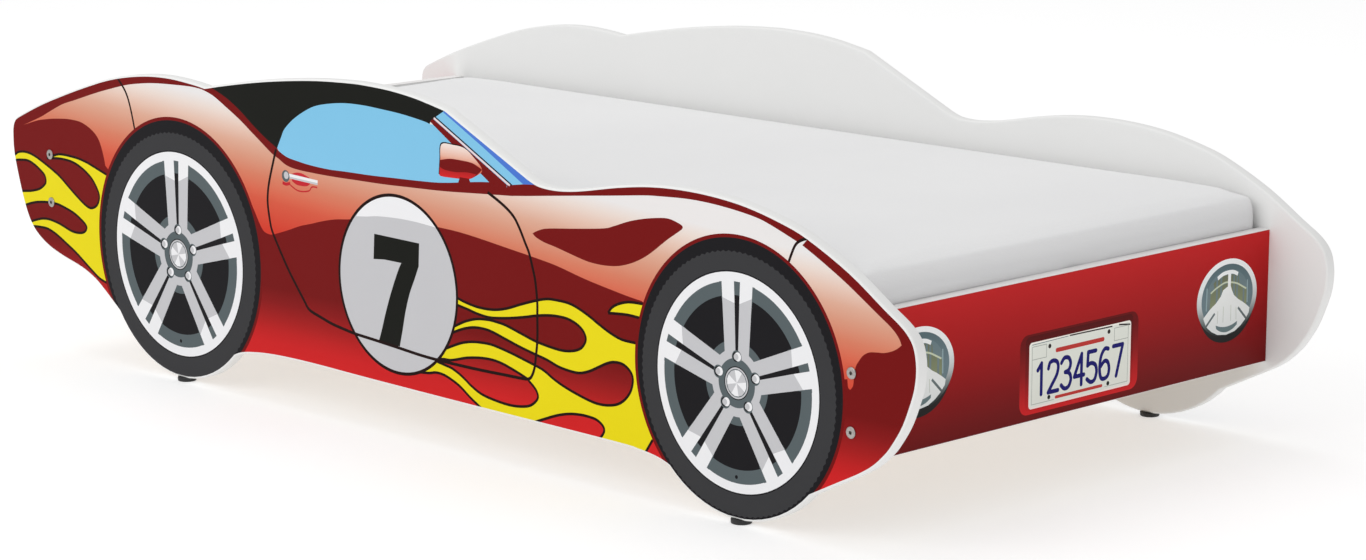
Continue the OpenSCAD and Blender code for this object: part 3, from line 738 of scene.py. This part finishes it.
def headlamp(middle):
    """A printed headlamp: shadow, bright ring, glass, ribbed reflector and the bulb's shade."""
    def at(*points):
        """Points beside the lamp's middle, at their heights above the floor."""
        return [Vector((middle + d, z)) for d, z in points]
    oval("lamp_shadow", (middle, 178.5), 53.5, 46)
    oval("lamp_ring", (middle, 185.8), 57.8, 46)
    oval("lamp_glass", (middle + 0.5, 186.3), 49.5, 39.4)
    oval("lamp_deep", (middle, 189), 40, 30)
    for way in (-1, 1):
        stroke("lamp_glint", at((way * 39, 202), (way * 39.5, 175)), 1.8)
    ink("lamp_olive", at((-27, 206), (-21, 210), (-9, 212.5), (2, 213), (2, 204), (-10, 203),
        (-24, 198)))
    ink("lamp_olive", at((6, 212.5), (14, 211.5), (22, 209), (23, 200), (14, 202), (6, 204)))
    ink("lamp_olive", at((-32, 194), (-22, 198), (-8, 202), (2, 203), (2, 185), (-25, 176),
        (-33, 176)))
    ink("lamp_olive", at((6, 203), (18, 200), (29, 195), (38, 191), (38, 170), (22, 178),
        (6, 190)))
    for d, high, low in ((-20, 211, 180), (-12, 212, 186), (13, 211, 186), (19, 209, 180),
                         (32, 194, 172)):
        stroke("lamp_deep", at((d, high), (d, low)), 3.2)
    stroke("lamp_line", curve(*at((-32, 195), (-22, 199.4), (-7, 203.9), (2, 204.2))), 2.0)
    stroke("lamp_line", curve(*at((6, 203.4), (18, 200.6), (29, 195.6), (37, 191.7))), 2.0)
    ink("lamp_fan", at((1, 199), (6.6, 199), (8.9, 194), (13.3, 187), (22, 181), (30, 177),
        (38.9, 171.7), (44.4, 167.8), (43.3, 162), (36.7, 155), (27.7, 148.6), (16.6, 143.6),
        (0, 141.4), (-16.7, 143.6), (-28, 148.6), (-36, 154), (-40, 158), (-45, 167), (-34, 175),
        (-27, 179), (-21.7, 181.5), (-12, 189), (-8, 195.6)))
    ink("lamp_fan", at((1, 214), (1, 198), (6.6, 198), (6.6, 214)))
    stroke("lamp_fan", curve(*at((-19, 211), (-10, 214.6), (0, 215.8), (11, 215), (20, 211.4))),
           4.6)
    stroke("lamp_deep", at((-23, 170), (-39, 157)), 3.0)
    stroke("lamp_deep", at((22, 171), (38, 156)), 3.0)
    for d, high in ((-17, 172), (-6.5, 176), (8, 176), (18, 172)):
        stroke("lamp_line", at((d, high), (d * 1.04, 157)), 0.9)
    ink("lamp_glass", curve(*at((-20.6, 155.4), (-11, 152.4), (0, 151.2), (11, 152.2), (21, 155)))
        + curve(*at((20.5, 151), (12, 146.6), (0, 144.6), (-11, 146.6), (-19.5, 151))))


def plate_figure(strokes, at):
    """One figure of the number plate, in a box 17 mm wide and 35 mm high."""
    for round_line, points in strokes:
        placed = [(at[0] + 17 * x, at[1] + 35 * y) for x, y in points]
        stroke("navy", curve(*placed) if round_line else line(*placed), NAVY_LINE)
        for end in (placed[0], placed[-1]):
            disc("navy", end, NAVY_LINE / 2, 16)


figures = (
    [(False, [(0.18, 0.8), (0.55, 1), (0.55, 0)])],
    [(True, [(0, 0.78), (0.14, 0.95), (0.5, 1), (0.88, 0.93), (1, 0.75), (0.84, 0.5),
             (0.4, 0.24), (0, 0)]), (False, [(0, 0), (1, 0)])],
    [(True, [(0, 0.86), (0.3, 1), (0.75, 0.97), (0.95, 0.78), (0.78, 0.58), (0.4, 0.53)]),
     (True, [(0.4, 0.53), (0.82, 0.47), (1, 0.27), (0.78, 0.04), (0.35, 0), (0, 0.13)])],
    [(False, [(0.74, 0), (0.74, 1), (0, 0.3), (1, 0.3)])],
    [(False, [(0.9, 1), (0.1, 1), (0.05, 0.56)]),
     (True, [(0.05, 0.56), (0.42, 0.62), (0.86, 0.53), (1, 0.3), (0.8, 0.05), (0.4, 0),
             (0, 0.12)])],
    [(True, [(0.88, 0.96), (0.5, 0.98), (0.12, 0.75), (0, 0.35), (0.15, 0.06), (0.5, 0),
             (0.88, 0.08), (1, 0.3), (0.85, 0.52), (0.5, 0.58), (0.08, 0.42)])],
    [(False, [(0, 1), (1, 1), (0.36, 0)])])

layers.clear()
soft_corners("recess", (-103.5, 105), (105.5, 195.5), 13)
soft_corners("recess_shadow", (-94, 109), (96, 193), 7)
soft_corners("plate_edge", (-87.7, 110.5), (92, 185.8), 4.5)
soft_corners("plate", (-85.8, 112.6), (90, 184), 3)
stroke("lamp_shadow", line((-18, 184.2), (58, 183.4)), 1.6)
stroke("lamp_shadow", line((70, 183.6), (90.5, 181)), 1.8)
stroke("lamp_glass", line((-83, 183), (-20, 184)), 0.8)
stroke("plate_line", line((-44, 115.4), (-82.5, 115.4), (-82.5, 180.6), (-58, 180.6),
                          (-58, 166), (-82.5, 166)), 0.8)
stroke("plate_line", line((87, 166), (62, 166), (62, 180.6), (87, 180.6), (87, 115.4),
                          (46, 115.4)), 0.8)
for hole_at in ((-52.5, 177.5), (52, 178.2), (-52.5, 119.5), (52, 118.5)):
    disc("lamp_shadow", hole_at, 2.6, 20)
soft_corners("red_stripe", (-42, 168.5), (44, 173.5), 2)
soft_corners("red_stripe", (-42, 115.8), (42, 119.4), 1.6)
for figure, middle in zip(figures, (-67, -45.5, -23, 0, 22.5, 45, 69)):
    plate_figure(figure, (middle - 8.5, 125))
headlamp(-272)
headlamp(272)

front_fade = [(97, (104, 18, 19)), (115, (115, 20, 21)), (140, (131, 20, 22)),
              (180, (157, 24, 26)), (220, (178, 29, 31)), (255, (195, 35, 37))]
front_inks = {
    "ground": paint("front_fade", front_fade),
    "recess": paint("plate_recess", [(105, (208, 34, 38)), (120, (192, 32, 35)),
                                     (150, (146, 26, 28)), (180, (112, 20, 21)),
                                     (195, (104, 18, 19))]),
    "recess_shadow": paint("recess_shadow", [(109, (196, 32, 35)), (130, (165, 28, 31)),
                                             (150, (124, 22, 24)), (193, (84, 16, 17))]),
    "plate_edge": paint("plate_edge_ink", [(110, (244, 226, 221)), (186, (248, 244, 235))]),
    "plate": paint("plate_ink", [(110, (228, 229, 220)), (186, (232, 235, 226))], drift=0.09),
    "plate_line": paint("plate_line_ink", [(0, (172, 176, 170))]),
    "navy": paint("navy_ink", [(0, (27, 24, 108))]),
    "red_stripe": paint("plate_red_ink", [(0, (196, 60, 56))], drift=0.2),
    "lamp_ring": paint("lamp_ring_ink", [(140, (34, 37, 37)), (152, (66, 72, 72)),
                                         (166, (134, 142, 142)), (180, (198, 202, 202)),
                                         (200, (232, 236, 236)), (232, (246, 248, 248))]),
    "lamp_glass": paint("lamp_glass_ink", [(148, (104, 122, 124)), (186, (110, 129, 136)),
                                           (222, (92, 112, 117))]),
    "lamp_deep": paint("lamp_deep_ink", [(150, (92, 98, 98)), (186, (118, 134, 136)),
                                         (218, (106, 127, 133))]),
    "lamp_glint": paint("lamp_glint_ink", [(0, (150, 172, 176))]),
    "lamp_line": paint("lamp_line_ink", [(150, (182, 186, 184)), (190, (200, 208, 182))]),
    "lamp_fan": paint("lamp_fan_ink", [(142, (220, 223, 222)), (180, (234, 236, 234)),
                                       (218, (244, 246, 246))]),
    "lamp_olive": paint("lamp_olive_ink", [(178, (136, 144, 112)), (212, (112, 118, 96))],
                        drift=0.2),
    "lamp_shadow": paint("lamp_shadow_ink", [(132, (31, 33, 33)), (160, (51, 44, 44))]),
}


def face_corners(low, high):
    """The corners of a board's printed face, in millimetres across the bed and up."""
    return [(y / MM, z / MM) for y, z in ((low.y, low.z), (high.y, low.z),
                                          (high.y, high.z), (low.y, high.z))]


low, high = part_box("front_board")
printed_film("front_film", face_corners(low, high), front_inks,
             lambda u, w, out, x=high.x: Vector((x + out, u * MM, w * MM)))

# the rear board's print, which is a maker's guess: the same fade and two pairs of lamps
REAR_FADE_UP = 40          # the fade starts this much higher than on the front board
layers.clear()
for middle in (-272, -190, 190, 272):
    disc("lamp_shadow", (middle, 215.5), 34, 60)
    for name, radius, steps in (("lamp_ring", 33, 60), ("lamp_red", 27.5, 60),
                                ("lamp_glow", 17, 48), ("lamp_red", 8, 36)):
        disc(name, (middle, 217.5), radius, steps)
rear_inks = {
    "ground": paint("rear_fade", [(height + REAR_FADE_UP, colour)
                                  for height, colour in front_fade]),
    "lamp_red": paint("tail_lamp_red", [(180, (150, 16, 20)), (250, (196, 26, 30))]),
    "lamp_glow": paint("tail_lamp_glow", [(180, (214, 44, 40)), (250, (232, 84, 70))]),
    "lamp_ring": front_inks["lamp_ring"],
    "lamp_shadow": front_inks["lamp_shadow"],
}
low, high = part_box("rear_board")
printed_film("rear_film", face_corners(low, high), rear_inks,
             lambda u, w, out, x=low.x: Vector((x - out, -u * MM, w * MM)))

# ---- Bolts, barrel nuts and dowels ---------------------------------------------------------
# Connector bolts with flat heads and hexagon sockets, of steel with a dull zinc coat, turn
# into steel barrel nuts in the boards. A beech dowel between each pair locates the board.

grain, grain_in, grain_out = surface_group(
    "metal_coat", [("Color", "Color"), ("Gloss", "Float")],
    [("Color", "Color"), ("Roughness", "Float"), ("Height", "Float")])
grain_place = node(grain, "TexCoord")
grain_cloud = node(grain, "TexNoise", {"Vector": grain_place.outputs["Object"],
                                       "Scale": 420.0, "Detail": 5.0})
grain_fine = node(grain, "TexNoise", {"Vector": grain_place.outputs["Object"],
                                      "Scale": 3000.0, "Detail": 2.0})
grain_dull = node(grain, "HueSaturation", {"Color": grain_in.outputs["Color"], "Value": 0.6})
grain_mask = node(grain, "MapRange", {"Value": grain_cloud.outputs["Fac"], "From Min": 0.35,
                                      "From Max": 0.75, "To Min": 0.0, "To Max": 0.7})
grain_mix = node(grain, "Mix", {"Factor": grain_mask.outputs["Result"],
                                6: grain_in.outputs["Color"],
                                7: grain_dull.outputs["Color"]}, data_type="RGBA")
grain_gloss = node(grain, "Math", {0: grain_cloud.outputs["Fac"], 1: 0.3,
                                   2: grain_in.outputs["Gloss"]}, operation="MULTIPLY_ADD")
link_all(grain, grain_out, Color=grain_mix.outputs[2], Roughness=grain_gloss.outputs[0],
         Height=grain_fine.outputs["Fac"])


def coated_metal(name, colour):
    """Steel under a thin coat: dull clouds, fine pores, a gloss that varies."""
    made, tree, shader = finish(name, metallic=1.0)
    dress(tree, shader, grain, 0.4, 0.02 * MM, Color=tone(*colour), Gloss=0.24)
    return made


def turned(profile, centre, axis, steps=48):
    """A turned part: its half profile as (radius, distance along the axis), spun round."""
    shape = bmesh.new()
    axis = Vector(axis)
    side = axis.orthogonal().normalized()
    corners = [shape.verts.new(Vector(centre) + side * r + axis * d) for r, d in profile]
    edges = [shape.edges.new(pair) for pair in zip(corners, corners[1:])]
    bmesh.ops.spin(shape, geom=corners + edges, cent=centre, axis=axis, dvec=(0, 0, 0),
                   angle=2 * math.pi, steps=steps, use_merge=True, use_duplicate=False)
    bmesh.ops.remove_doubles(shape, verts=shape.verts, dist=TOUCH)
    bmesh.ops.recalc_face_normals(shape, faces=shape.faces)
    return shape


zinc = coated_metal("dull_zinc", (176, 172, 168))
HEAD_R, HEAD_ROUND, SHANK_R = 6.5 * MM, 0.45 * MM, 3.0 * MM
SOCKET_R, SOCKET_DEEP = 4.0 * MM / 2 / math.cos(math.radians(30)), 3.2 * MM
for name, hand in (("right", -1), ("left", 1)):
    for end in ("front", "rear"):
        low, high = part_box(f"bolts_{end}_{name}")
        head = low.y if hand < 0 else high.y
        tip = high.y if hand < 0 else low.y
        reach = abs(head - tip)
        head_high = abs(head) - abs(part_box(f"{name}_panel")[0 if hand < 0 else 1].y)
        x, shapes, sockets = (low.x + high.x) / 2, [], bmesh.new()
        for z in (low.z + HEAD_R, high.z - HEAD_R):
            shapes.append(turned(
                [(0, 0), (HEAD_R - 2 * HEAD_ROUND, 0), (HEAD_R - HEAD_ROUND, 0.3 * HEAD_ROUND),
                 (HEAD_R, HEAD_ROUND), (HEAD_R, head_high), (SHANK_R, head_high),
                 (SHANK_R, reach - MM), (SHANK_R - 0.8 * MM, reach), (0, reach)],
                (x, head, z), (0, -hand, 0)))
            round_bar(sockets, SOCKET_R, (x, head + hand * MM, z),
                      (x, head - hand * SOCKET_DEEP, z), 6)
        bolts = piece(f"connector_bolts_{end}_{name}", join_shapes(shapes), zinc,
                      stands_for=[f"bolts_{end}_{name}"])
        bore(bolts, sockets)
for end in ("front", "rear"):
    put_on("barrel_nuts_" + end, zinc)

# wood: long grain lines along one axis, pores, and a tone that drifts from board to board
wood, wood_in, wood_out = surface_group(
    "wood_grain", [("Vector", "Vector"), ("Light", "Color"), ("Dark", "Color")],
    [("Color", "Color"), ("Roughness", "Float"), ("Height", "Float")])
wood_wave = node(wood, "TexWave", {"Vector": wood_in.outputs["Vector"], "Scale": 11.0,
                                   "Distortion": 9.0, "Detail": 4.0, "Detail Scale": 1.6},
                 bands_direction="Z")
wood_pore = node(wood, "TexNoise", {"Vector": wood_in.outputs["Vector"], "Scale": 260.0,
                                    "Detail": 3.0})
wood_drift = node(wood, "TexNoise", {"Vector": wood_in.outputs["Vector"], "Scale": 5.0,
                                     "Detail": 2.0})
wood_line = node(wood, "Math", {0: wood_wave.outputs["Fac"], 1: wood_pore.outputs["Fac"]},
                 operation="MULTIPLY")
wood_tone = node(wood, "Math", {0: wood_drift.outputs["Fac"], 1: 0.5,
                                2: wood_line.outputs[0]}, operation="MULTIPLY_ADD")
wood_mix = node(wood, "Mix", {"Factor": wood_tone.outputs[0], 6: wood_in.outputs["Light"],
                              7: wood_in.outputs["Dark"]}, data_type="RGBA")
wood_gloss = node(wood, "MapRange", {"Value": wood_pore.outputs["Fac"], "To Min": 0.5,
                                     "To Max": 0.72})
link_all(wood, wood_out, Color=wood_mix.outputs[2], Roughness=wood_gloss.outputs["Result"],
         Height=wood_line.outputs[0])


def timber(name, light, dark, along, shift=0.0):
    """Bare wood with its grain along an axis: 0 for X, 1 for Y."""
    made, tree, shader = finish(name, specular_ior_level=0.3)
    place = node(tree, "TexCoord")
    stretch = [6.0, 6.0, 6.0]
    stretch[along] = 0.35
    lie = node(tree, "Mapping", {"Vector": place.outputs["Object"], "Scale": stretch,
                                 "Location": (shift, shift * 0.7, shift * 1.3)})
    over = dress(tree, shader, wood, 0.35, 0.2 * MM, Light=tone(*light), Dark=tone(*dark))
    tree.links.new(lie.outputs["Vector"], over.inputs["Vector"])
    return made


beech = timber("beech", (214, 172, 128), (176, 128, 84), 1)
for end in ("front", "rear"):
    put_on("dowels_" + end, beech)

# ---- Foot glides ---------------------------------------------------------------------------
# Four black polyethylene glides, moulded with a rounded lower edge and a sunk middle, are
# nailed up into the flats under the wheels, so the board never stands on the floor.

NAIL_HOLE_R, NAIL_SINK_R, NAIL_SINK = 1.35 * MM, 4.1 * MM, 2.2 * MM
# moulded plastic: a fine spark texture and a slightly uneven gloss
glide_black = paint("glide_plastic", [(0, (24, 24, 25))], drift=0.18, gloss=0.42, peel=900.0,
                    peel_depth=0.08 * MM, specular=0.5)
for end in ("front", "rear"):
    for side in ("right", "left"):
        low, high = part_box(f"foot_{end}_{side}")
        r, tall = (high.x - low.x) / 2, high.z - low.z
        centre = ((low.x + high.x) / 2, (low.y + high.y) / 2, 0)
        glide = turned(
            [(NAIL_HOLE_R, NAIL_SINK), (NAIL_SINK_R, NAIL_SINK), (NAIL_SINK_R, 0.3 * MM),
             (NAIL_SINK_R + 0.3 * MM, 0), (r - 1.6 * MM, 0), (r - 0.7 * MM, 0.25 * MM),
             (r - 0.15 * MM, 0.9 * MM), (r, 1.7 * MM), (r, tall - 0.6 * MM),
             (r - 0.3 * MM, tall - 0.1 * MM), (r - 0.7 * MM, tall), (NAIL_HOLE_R, tall),
             (NAIL_HOLE_R, NAIL_SINK)], centre, (0, 0, 1), 56)
        for face in glide.faces:
            face.smooth = 0.02 < abs(face.normal.z) < 0.98
        piece(f"glide_{end}_{side}", glide, glide_black,
              stands_for=[f"foot_{end}_{side}"])
put_on("foot_nails", zinc)

# ---- Rails and their screws ----------------------------------------------------------------
# Planed pine, 20 by 30 mm, screwed to the inside of each panel with five yellow countersunk
# screws. The slats lie on their upper sides.

pine = timber("pine", (226, 190, 136), (196, 150, 92), 0)
yellow_zinc = coated_metal("yellow_zinc", (196, 168, 92))
for side in ("right", "left"):
    put_on(side + "_rail", pine)
    put_on(side + "_rail_screws", yellow_zinc)

# ---- Slats, tapes and staples --------------------------------------------------------------
# Fourteen birch plywood slats with planed, softened edges. Two woven tapes run under them,
# stapled to every slat, so that the set rolls up and lifts out in one piece.

SLAT_ROUND = 1.6 * MM
birches = [timber(f"birch_{k}", light, dark, 1, 3.7 * k) for k, (light, dark) in
    enumerate((((230, 204, 160), (204, 170, 120)), ((224, 194, 148), (196, 158, 108)),
    ((234, 210, 170), (208, 178, 132))))]
slat_numbers = sorted(int(name[5:]) for name in parts
                      if name.startswith("slat_") and name[5:].isdigit())
for number in slat_numbers:
    name = f"slat_{number}"
    piece("birch_" + name, strip(*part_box(name), SLAT_ROUND, 3), birches[number % 3],
          body="slat_base", stands_for=[name])

webbing, web_tree, web_shader = finish("webbing", roughness=0.85, specular_ior_level=0.2)
web_place = node(web_tree, "TexCoord")
web_warp = node(web_tree, "TexWave", {"Vector": web_place.outputs["Object"], "Scale": 420.0,
                                      "Distortion": 0.6}, bands_direction="X")
web_weft = node(web_tree, "TexWave", {"Vector": web_place.outputs["Object"], "Scale": 330.0,
                                      "Distortion": 0.6}, bands_direction="Y")
web_cross = node(web_tree, "Math", {0: web_warp.outputs["Fac"], 1: web_weft.outputs["Fac"]},
                 operation="MULTIPLY")
web_mix = node(web_tree, "Mix", {"Factor": web_cross.outputs[0], 6: tone(196, 194, 186),
                                 7: tone(232, 230, 224)}, data_type="RGBA")
web_tree.links.new(web_mix.outputs[2], web_shader.inputs["Base Color"])
bump(web_tree, web_shader, web_cross.outputs[0], 0.8, 0.3 * MM)
for side in ("right", "left"):
    put_on("slat_tape_" + side, webbing)
put_on("tape_staples", zinc)

# ---- Mattress ------------------------------------------------------------------------------
# A 1400 by 700 mm foam block, 100 mm thick, in a cover of pale knitted polyester; its
# sides are painted a little greyer than its top, as painted shade. It lies loose on the slats.
# The cover's corners are sewn square, and it is drawn tight, so it bulges softly between them.

PAD_INSET = 2.5 * MM       # the foam starts smaller by this on each side, and swells back
PAD_RISE = 3.5 * MM        # the sewn top stands above the flat foam by this at its corners
CROWN = 5.0 * MM           # and by this much more along its middle
CROWN_FLAT = 10            # power that keeps the crown level until close to the ends
PAD_ROUND = 9 * MM         # rounding of the cover's edges
END_ROUND = 20 * MM        # the top's front and rear edges are softer than its long edges
END_FILL = 3.0 * MM        # the cover closes part of the gap to each end board
VOXEL = 10.5 * MM          # size of the net that the cloth simulation moves
SWELL = 3.5 * MM           # the furthest that the pressure moves any point
CORNER = 22.0 * MM         # the sewn corners hold their shape this far in
SIDE_SWELL = 1.4 * MM      # a side never bulges out past the foam by more than this
TOP_SWELL = 1.5 * MM       # the ends' rounding runs up to this far above the sewn top
FRONT_BULGE = 5 * MM       # the furthest that the cover reaches over the front board's edge
OVER_BOARD = 4 * MM        # it does so from this far above that edge
CLEAR = 0.5 * MM           # and lower down, it keeps this far from the board
LIE = 0.1 * MM             # the underside keeps this far off the slats
SIDE_SHADE_TOP = 2 * MM        # the painted shade on the sides ends this far above the flat foam
SIDE_SHADE_FADE = 22 * MM      # and fades out into the top's knit over this height
low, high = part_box("mattress_cover")
middle = (low + high) / 2
half = (high - low) / 2
board_back, board_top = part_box("front_board")[0].x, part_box("front_board")[1].z
pad = strip((low.x - END_FILL, low.y + PAD_INSET, low.z + PAD_INSET),
            (board_back + END_FILL / 2, high.y - PAD_INSET, high.z + PAD_RISE), PAD_ROUND, 4)
mattress = in_scene("mattress", mesh_of("mattress", pad))
remesh = mattress.modifiers.new("remesh", "REMESH")
remesh.mode = "VOXEL"
remesh.voxel_size = VOXEL
as_mesh(mattress)
start = [v.co.copy() for v in mattress.data.vertices]
sewn = mattress.vertex_groups.new(name="sewn_corners")
sewn.add([i for i, at in enumerate(start)
          if half.x - abs(at.x - middle.x) < CORNER and half.y - abs(at.y) < CORNER], 1.0,
         "REPLACE")
cloth = mattress.modifiers.new("cloth", "CLOTH")
cloth.settings.vertex_group_mass = "sewn_corners"
cloth.settings.use_pressure = True
cloth.settings.uniform_pressure_force = 4.0
cloth.settings.effector_weights.gravity = 0.0
cloth.settings.quality = 5
cloth.settings.mass = 0.3
cloth.settings.tension_stiffness = 15
cloth.settings.compression_stiffness = 15
cloth.settings.bending_stiffness = 2.0
for step in range(1, 21):
    bpy.context.scene.frame_set(step)
as_mesh(mattress)
bpy.context.scene.frame_set(1)
for vertex, was in zip(mattress.data.vertices, start):
    move = vertex.co - was
    if move.length > SWELL:
        vertex.co = was + move.normalized() * SWELL
smooth = mattress.modifiers.new("fine", "SUBSURF")
smooth.levels = smooth.render_levels = 1
as_mesh(mattress)
front_face, rear_face = board_back + FRONT_BULGE, low.x - 2 * END_FILL
top_face = high.z + PAD_RISE + TOP_SWELL
for vertex in mattress.data.vertices:
    for way, face in ((1, front_face), (-1, rear_face)):
        out = 1 + way * (vertex.co.x - face) / END_ROUND
        up = 1 + (vertex.co.z - top_face) / END_ROUND
        reach = math.hypot(out, up)
        if out > 0 and up > 0 and reach > 1:
            vertex.co.x = face + way * (out / reach - 1) * END_ROUND
            vertex.co.z = top_face + (up / reach - 1) * END_ROUND
    along = min(abs(vertex.co.x - middle.x) / half.x, 1.0)
    share = max((vertex.co.z - middle.z) / half.z, 0.0)
    vertex.co.z = max(vertex.co.z, low.z + LIE) + CROWN * share * (1 - along ** CROWN_FLAT)
    over_board = vertex.co.z > board_top + OVER_BOARD
    front_limit = front_face if over_board else board_back - CLEAR
    vertex.co.x = min(max(vertex.co.x, rear_face), front_limit)
    vertex.co.y = min(max(vertex.co.y, low.y - SIDE_SWELL), high.y + SIDE_SWELL)
mattress.data.shade_smooth()

knit, knit_tree, knit_shader = finish("cover_knit", roughness=0.9, specular_ior_level=0.15,
                                      sheen_weight=0.15, sheen_roughness=0.6)
knit_place = node(knit_tree, "TexCoord")
loops = [node(knit_tree, "TexWave", {"Vector": knit_place.outputs["Object"], "Scale": 210.0,
                                     "Distortion": 1.2, "Detail": 1.0},
              bands_direction=way).outputs["Fac"] for way in "XYZ"]
knit_cross = node(knit_tree, "Math", {0: loops[0], 1: loops[1]}, operation="MULTIPLY")
knit_side = node(knit_tree, "Math", {0: knit_cross.outputs[0], 1: loops[2]}, operation="ADD")
knit_cloud = node(knit_tree, "TexNoise", {"Vector": knit_place.outputs["Object"],
                                          "Scale": 3.0, "Detail": 3.0})
knit_fuzz = node(knit_tree, "TexNoise", {"Vector": knit_place.outputs["Object"],
                                         "Scale": 900.0, "Detail": 2.0})
knit_mask = node(knit_tree, "Math", {0: knit_cloud.outputs["Fac"], 1: knit_fuzz.outputs["Fac"]},
                 operation="MULTIPLY")
knit_mix = node(knit_tree, "Mix", {"Factor": knit_mask.outputs[0], 6: tone(240, 240, 240),
                                   7: tone(222, 222, 224)}, data_type="RGBA")
# painted shade: the sides get a slightly greyer knit than the top, for the shade on them
knit_axes = node(knit_tree, "SeparateXYZ", {"Vector": knit_place.outputs["Object"]})
side_shade_band = node(knit_tree, "MapRange", {"Value": knit_axes.outputs["Z"],
                                         "From Min": high.z + SIDE_SHADE_TOP - SIDE_SHADE_FADE,
                                         "From Max": high.z + SIDE_SHADE_TOP,
                                         "To Min": 1.0, "To Max": 0.0})
side_shade_mix = node(knit_tree, "Mix", {"Factor": side_shade_band.outputs["Result"],
                                      6: knit_mix.outputs[2], 7: tone(222, 222, 223)},
                   data_type="RGBA")
knit_tree.links.new(side_shade_mix.outputs[2], knit_shader.inputs["Base Color"])
bump(knit_tree, knit_shader, knit_side.outputs[0], 0.35, 0.3 * MM)
mattress.data.materials.clear()
mattress.data.materials.append(knit)
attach(mattress, "mattress")
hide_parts("mattress_cover", "mattress_core")

# ---- Stage ---------------------------------------------------------------------------------
# A seamless pale studio floor that runs far past the bed, with white all round it, two large
# softboxes, and a camera with a long lens about a metre above the floor.

FLOOR_REACH = 30.0
WHITE = (1.0, 1.0, 1.0, 1.0)
floor_shape = bmesh.new()
bmesh.ops.create_grid(floor_shape, x_segments=1, y_segments=1, size=FLOOR_REACH)
floor = in_scene("floor", mesh_of("floor", floor_shape))
pale_floor, _, floor_shader = finish(
    "pale_floor", roughness=0.8, specular_ior_level=0.1, emission_strength=0.5)
floor_shader.inputs["Base Color"].default_value = tone(206, 206, 206)
floor_shader.inputs["Emission Color"].default_value = WHITE
floor.data.materials.append(pale_floor)

CAMERA_AT = Vector((3.184, -3.0742, 1.0173))
AZIMUTH, ELEVATION = math.radians(45.14), math.radians(11.17)
LENS, SENSOR = 94.4, 36.0  # both in millimetres
camera_data = bpy.data.cameras.new("camera")
camera_data.lens = LENS
camera_data.sensor_width = SENSOR
camera_data.clip_end = 100.0
camera = in_scene("camera", camera_data)
back = Vector((math.sin(AZIMUTH) * math.cos(ELEVATION), -math.cos(AZIMUTH) * math.cos(ELEVATION),
               math.sin(ELEVATION)))
camera.rotation_mode = "QUATERNION"
camera.location = CAMERA_AT
camera.rotation_quaternion = (-back).to_track_quat("-Z", "Y")
bpy.context.scene.camera = camera

world = bpy.data.worlds.new("studio")
bpy.context.scene.world = world
world.use_nodes = True
studio = world.node_tree
lit = studio.nodes["Background"]
lit.inputs["Color"].default_value = WHITE
lit.inputs["Strength"].default_value = 0.66
seen = node(studio, "Background", {"Color": WHITE, "Strength": 1.0})
ray = node(studio, "LightPath")
backdrop = node(studio, "MixShader", {0: ray.outputs["Is Camera Ray"],
                                      1: lit.outputs["Background"],
                                      2: seen.outputs["Background"]})
studio.links.new(backdrop.outputs["Shader"], studio.nodes["World Output"].inputs["Surface"])


# square studio lights with diffusers, both aimed at the bed's middle
LIGHT_SIDE = 4.0
AIM = Vector((0, 0, 0.2))
for name, at, power in (("key_light", (-0.5, -5.0, 3.0), 79),
                        ("top_light", (-1.5, 0.5, 5.0), 55)):
    light = bpy.data.lights.new(name, "AREA")
    light.size = LIGHT_SIDE
    light.energy = power
    softbox = in_scene(name, light)
    softbox.location = at
    softbox.rotation_mode = "QUATERNION"
    softbox.rotation_quaternion = (AIM - Vector(at)).to_track_quat("-Z", "Y")
bpy.context.scene.view_settings.view_transform = "Standard"
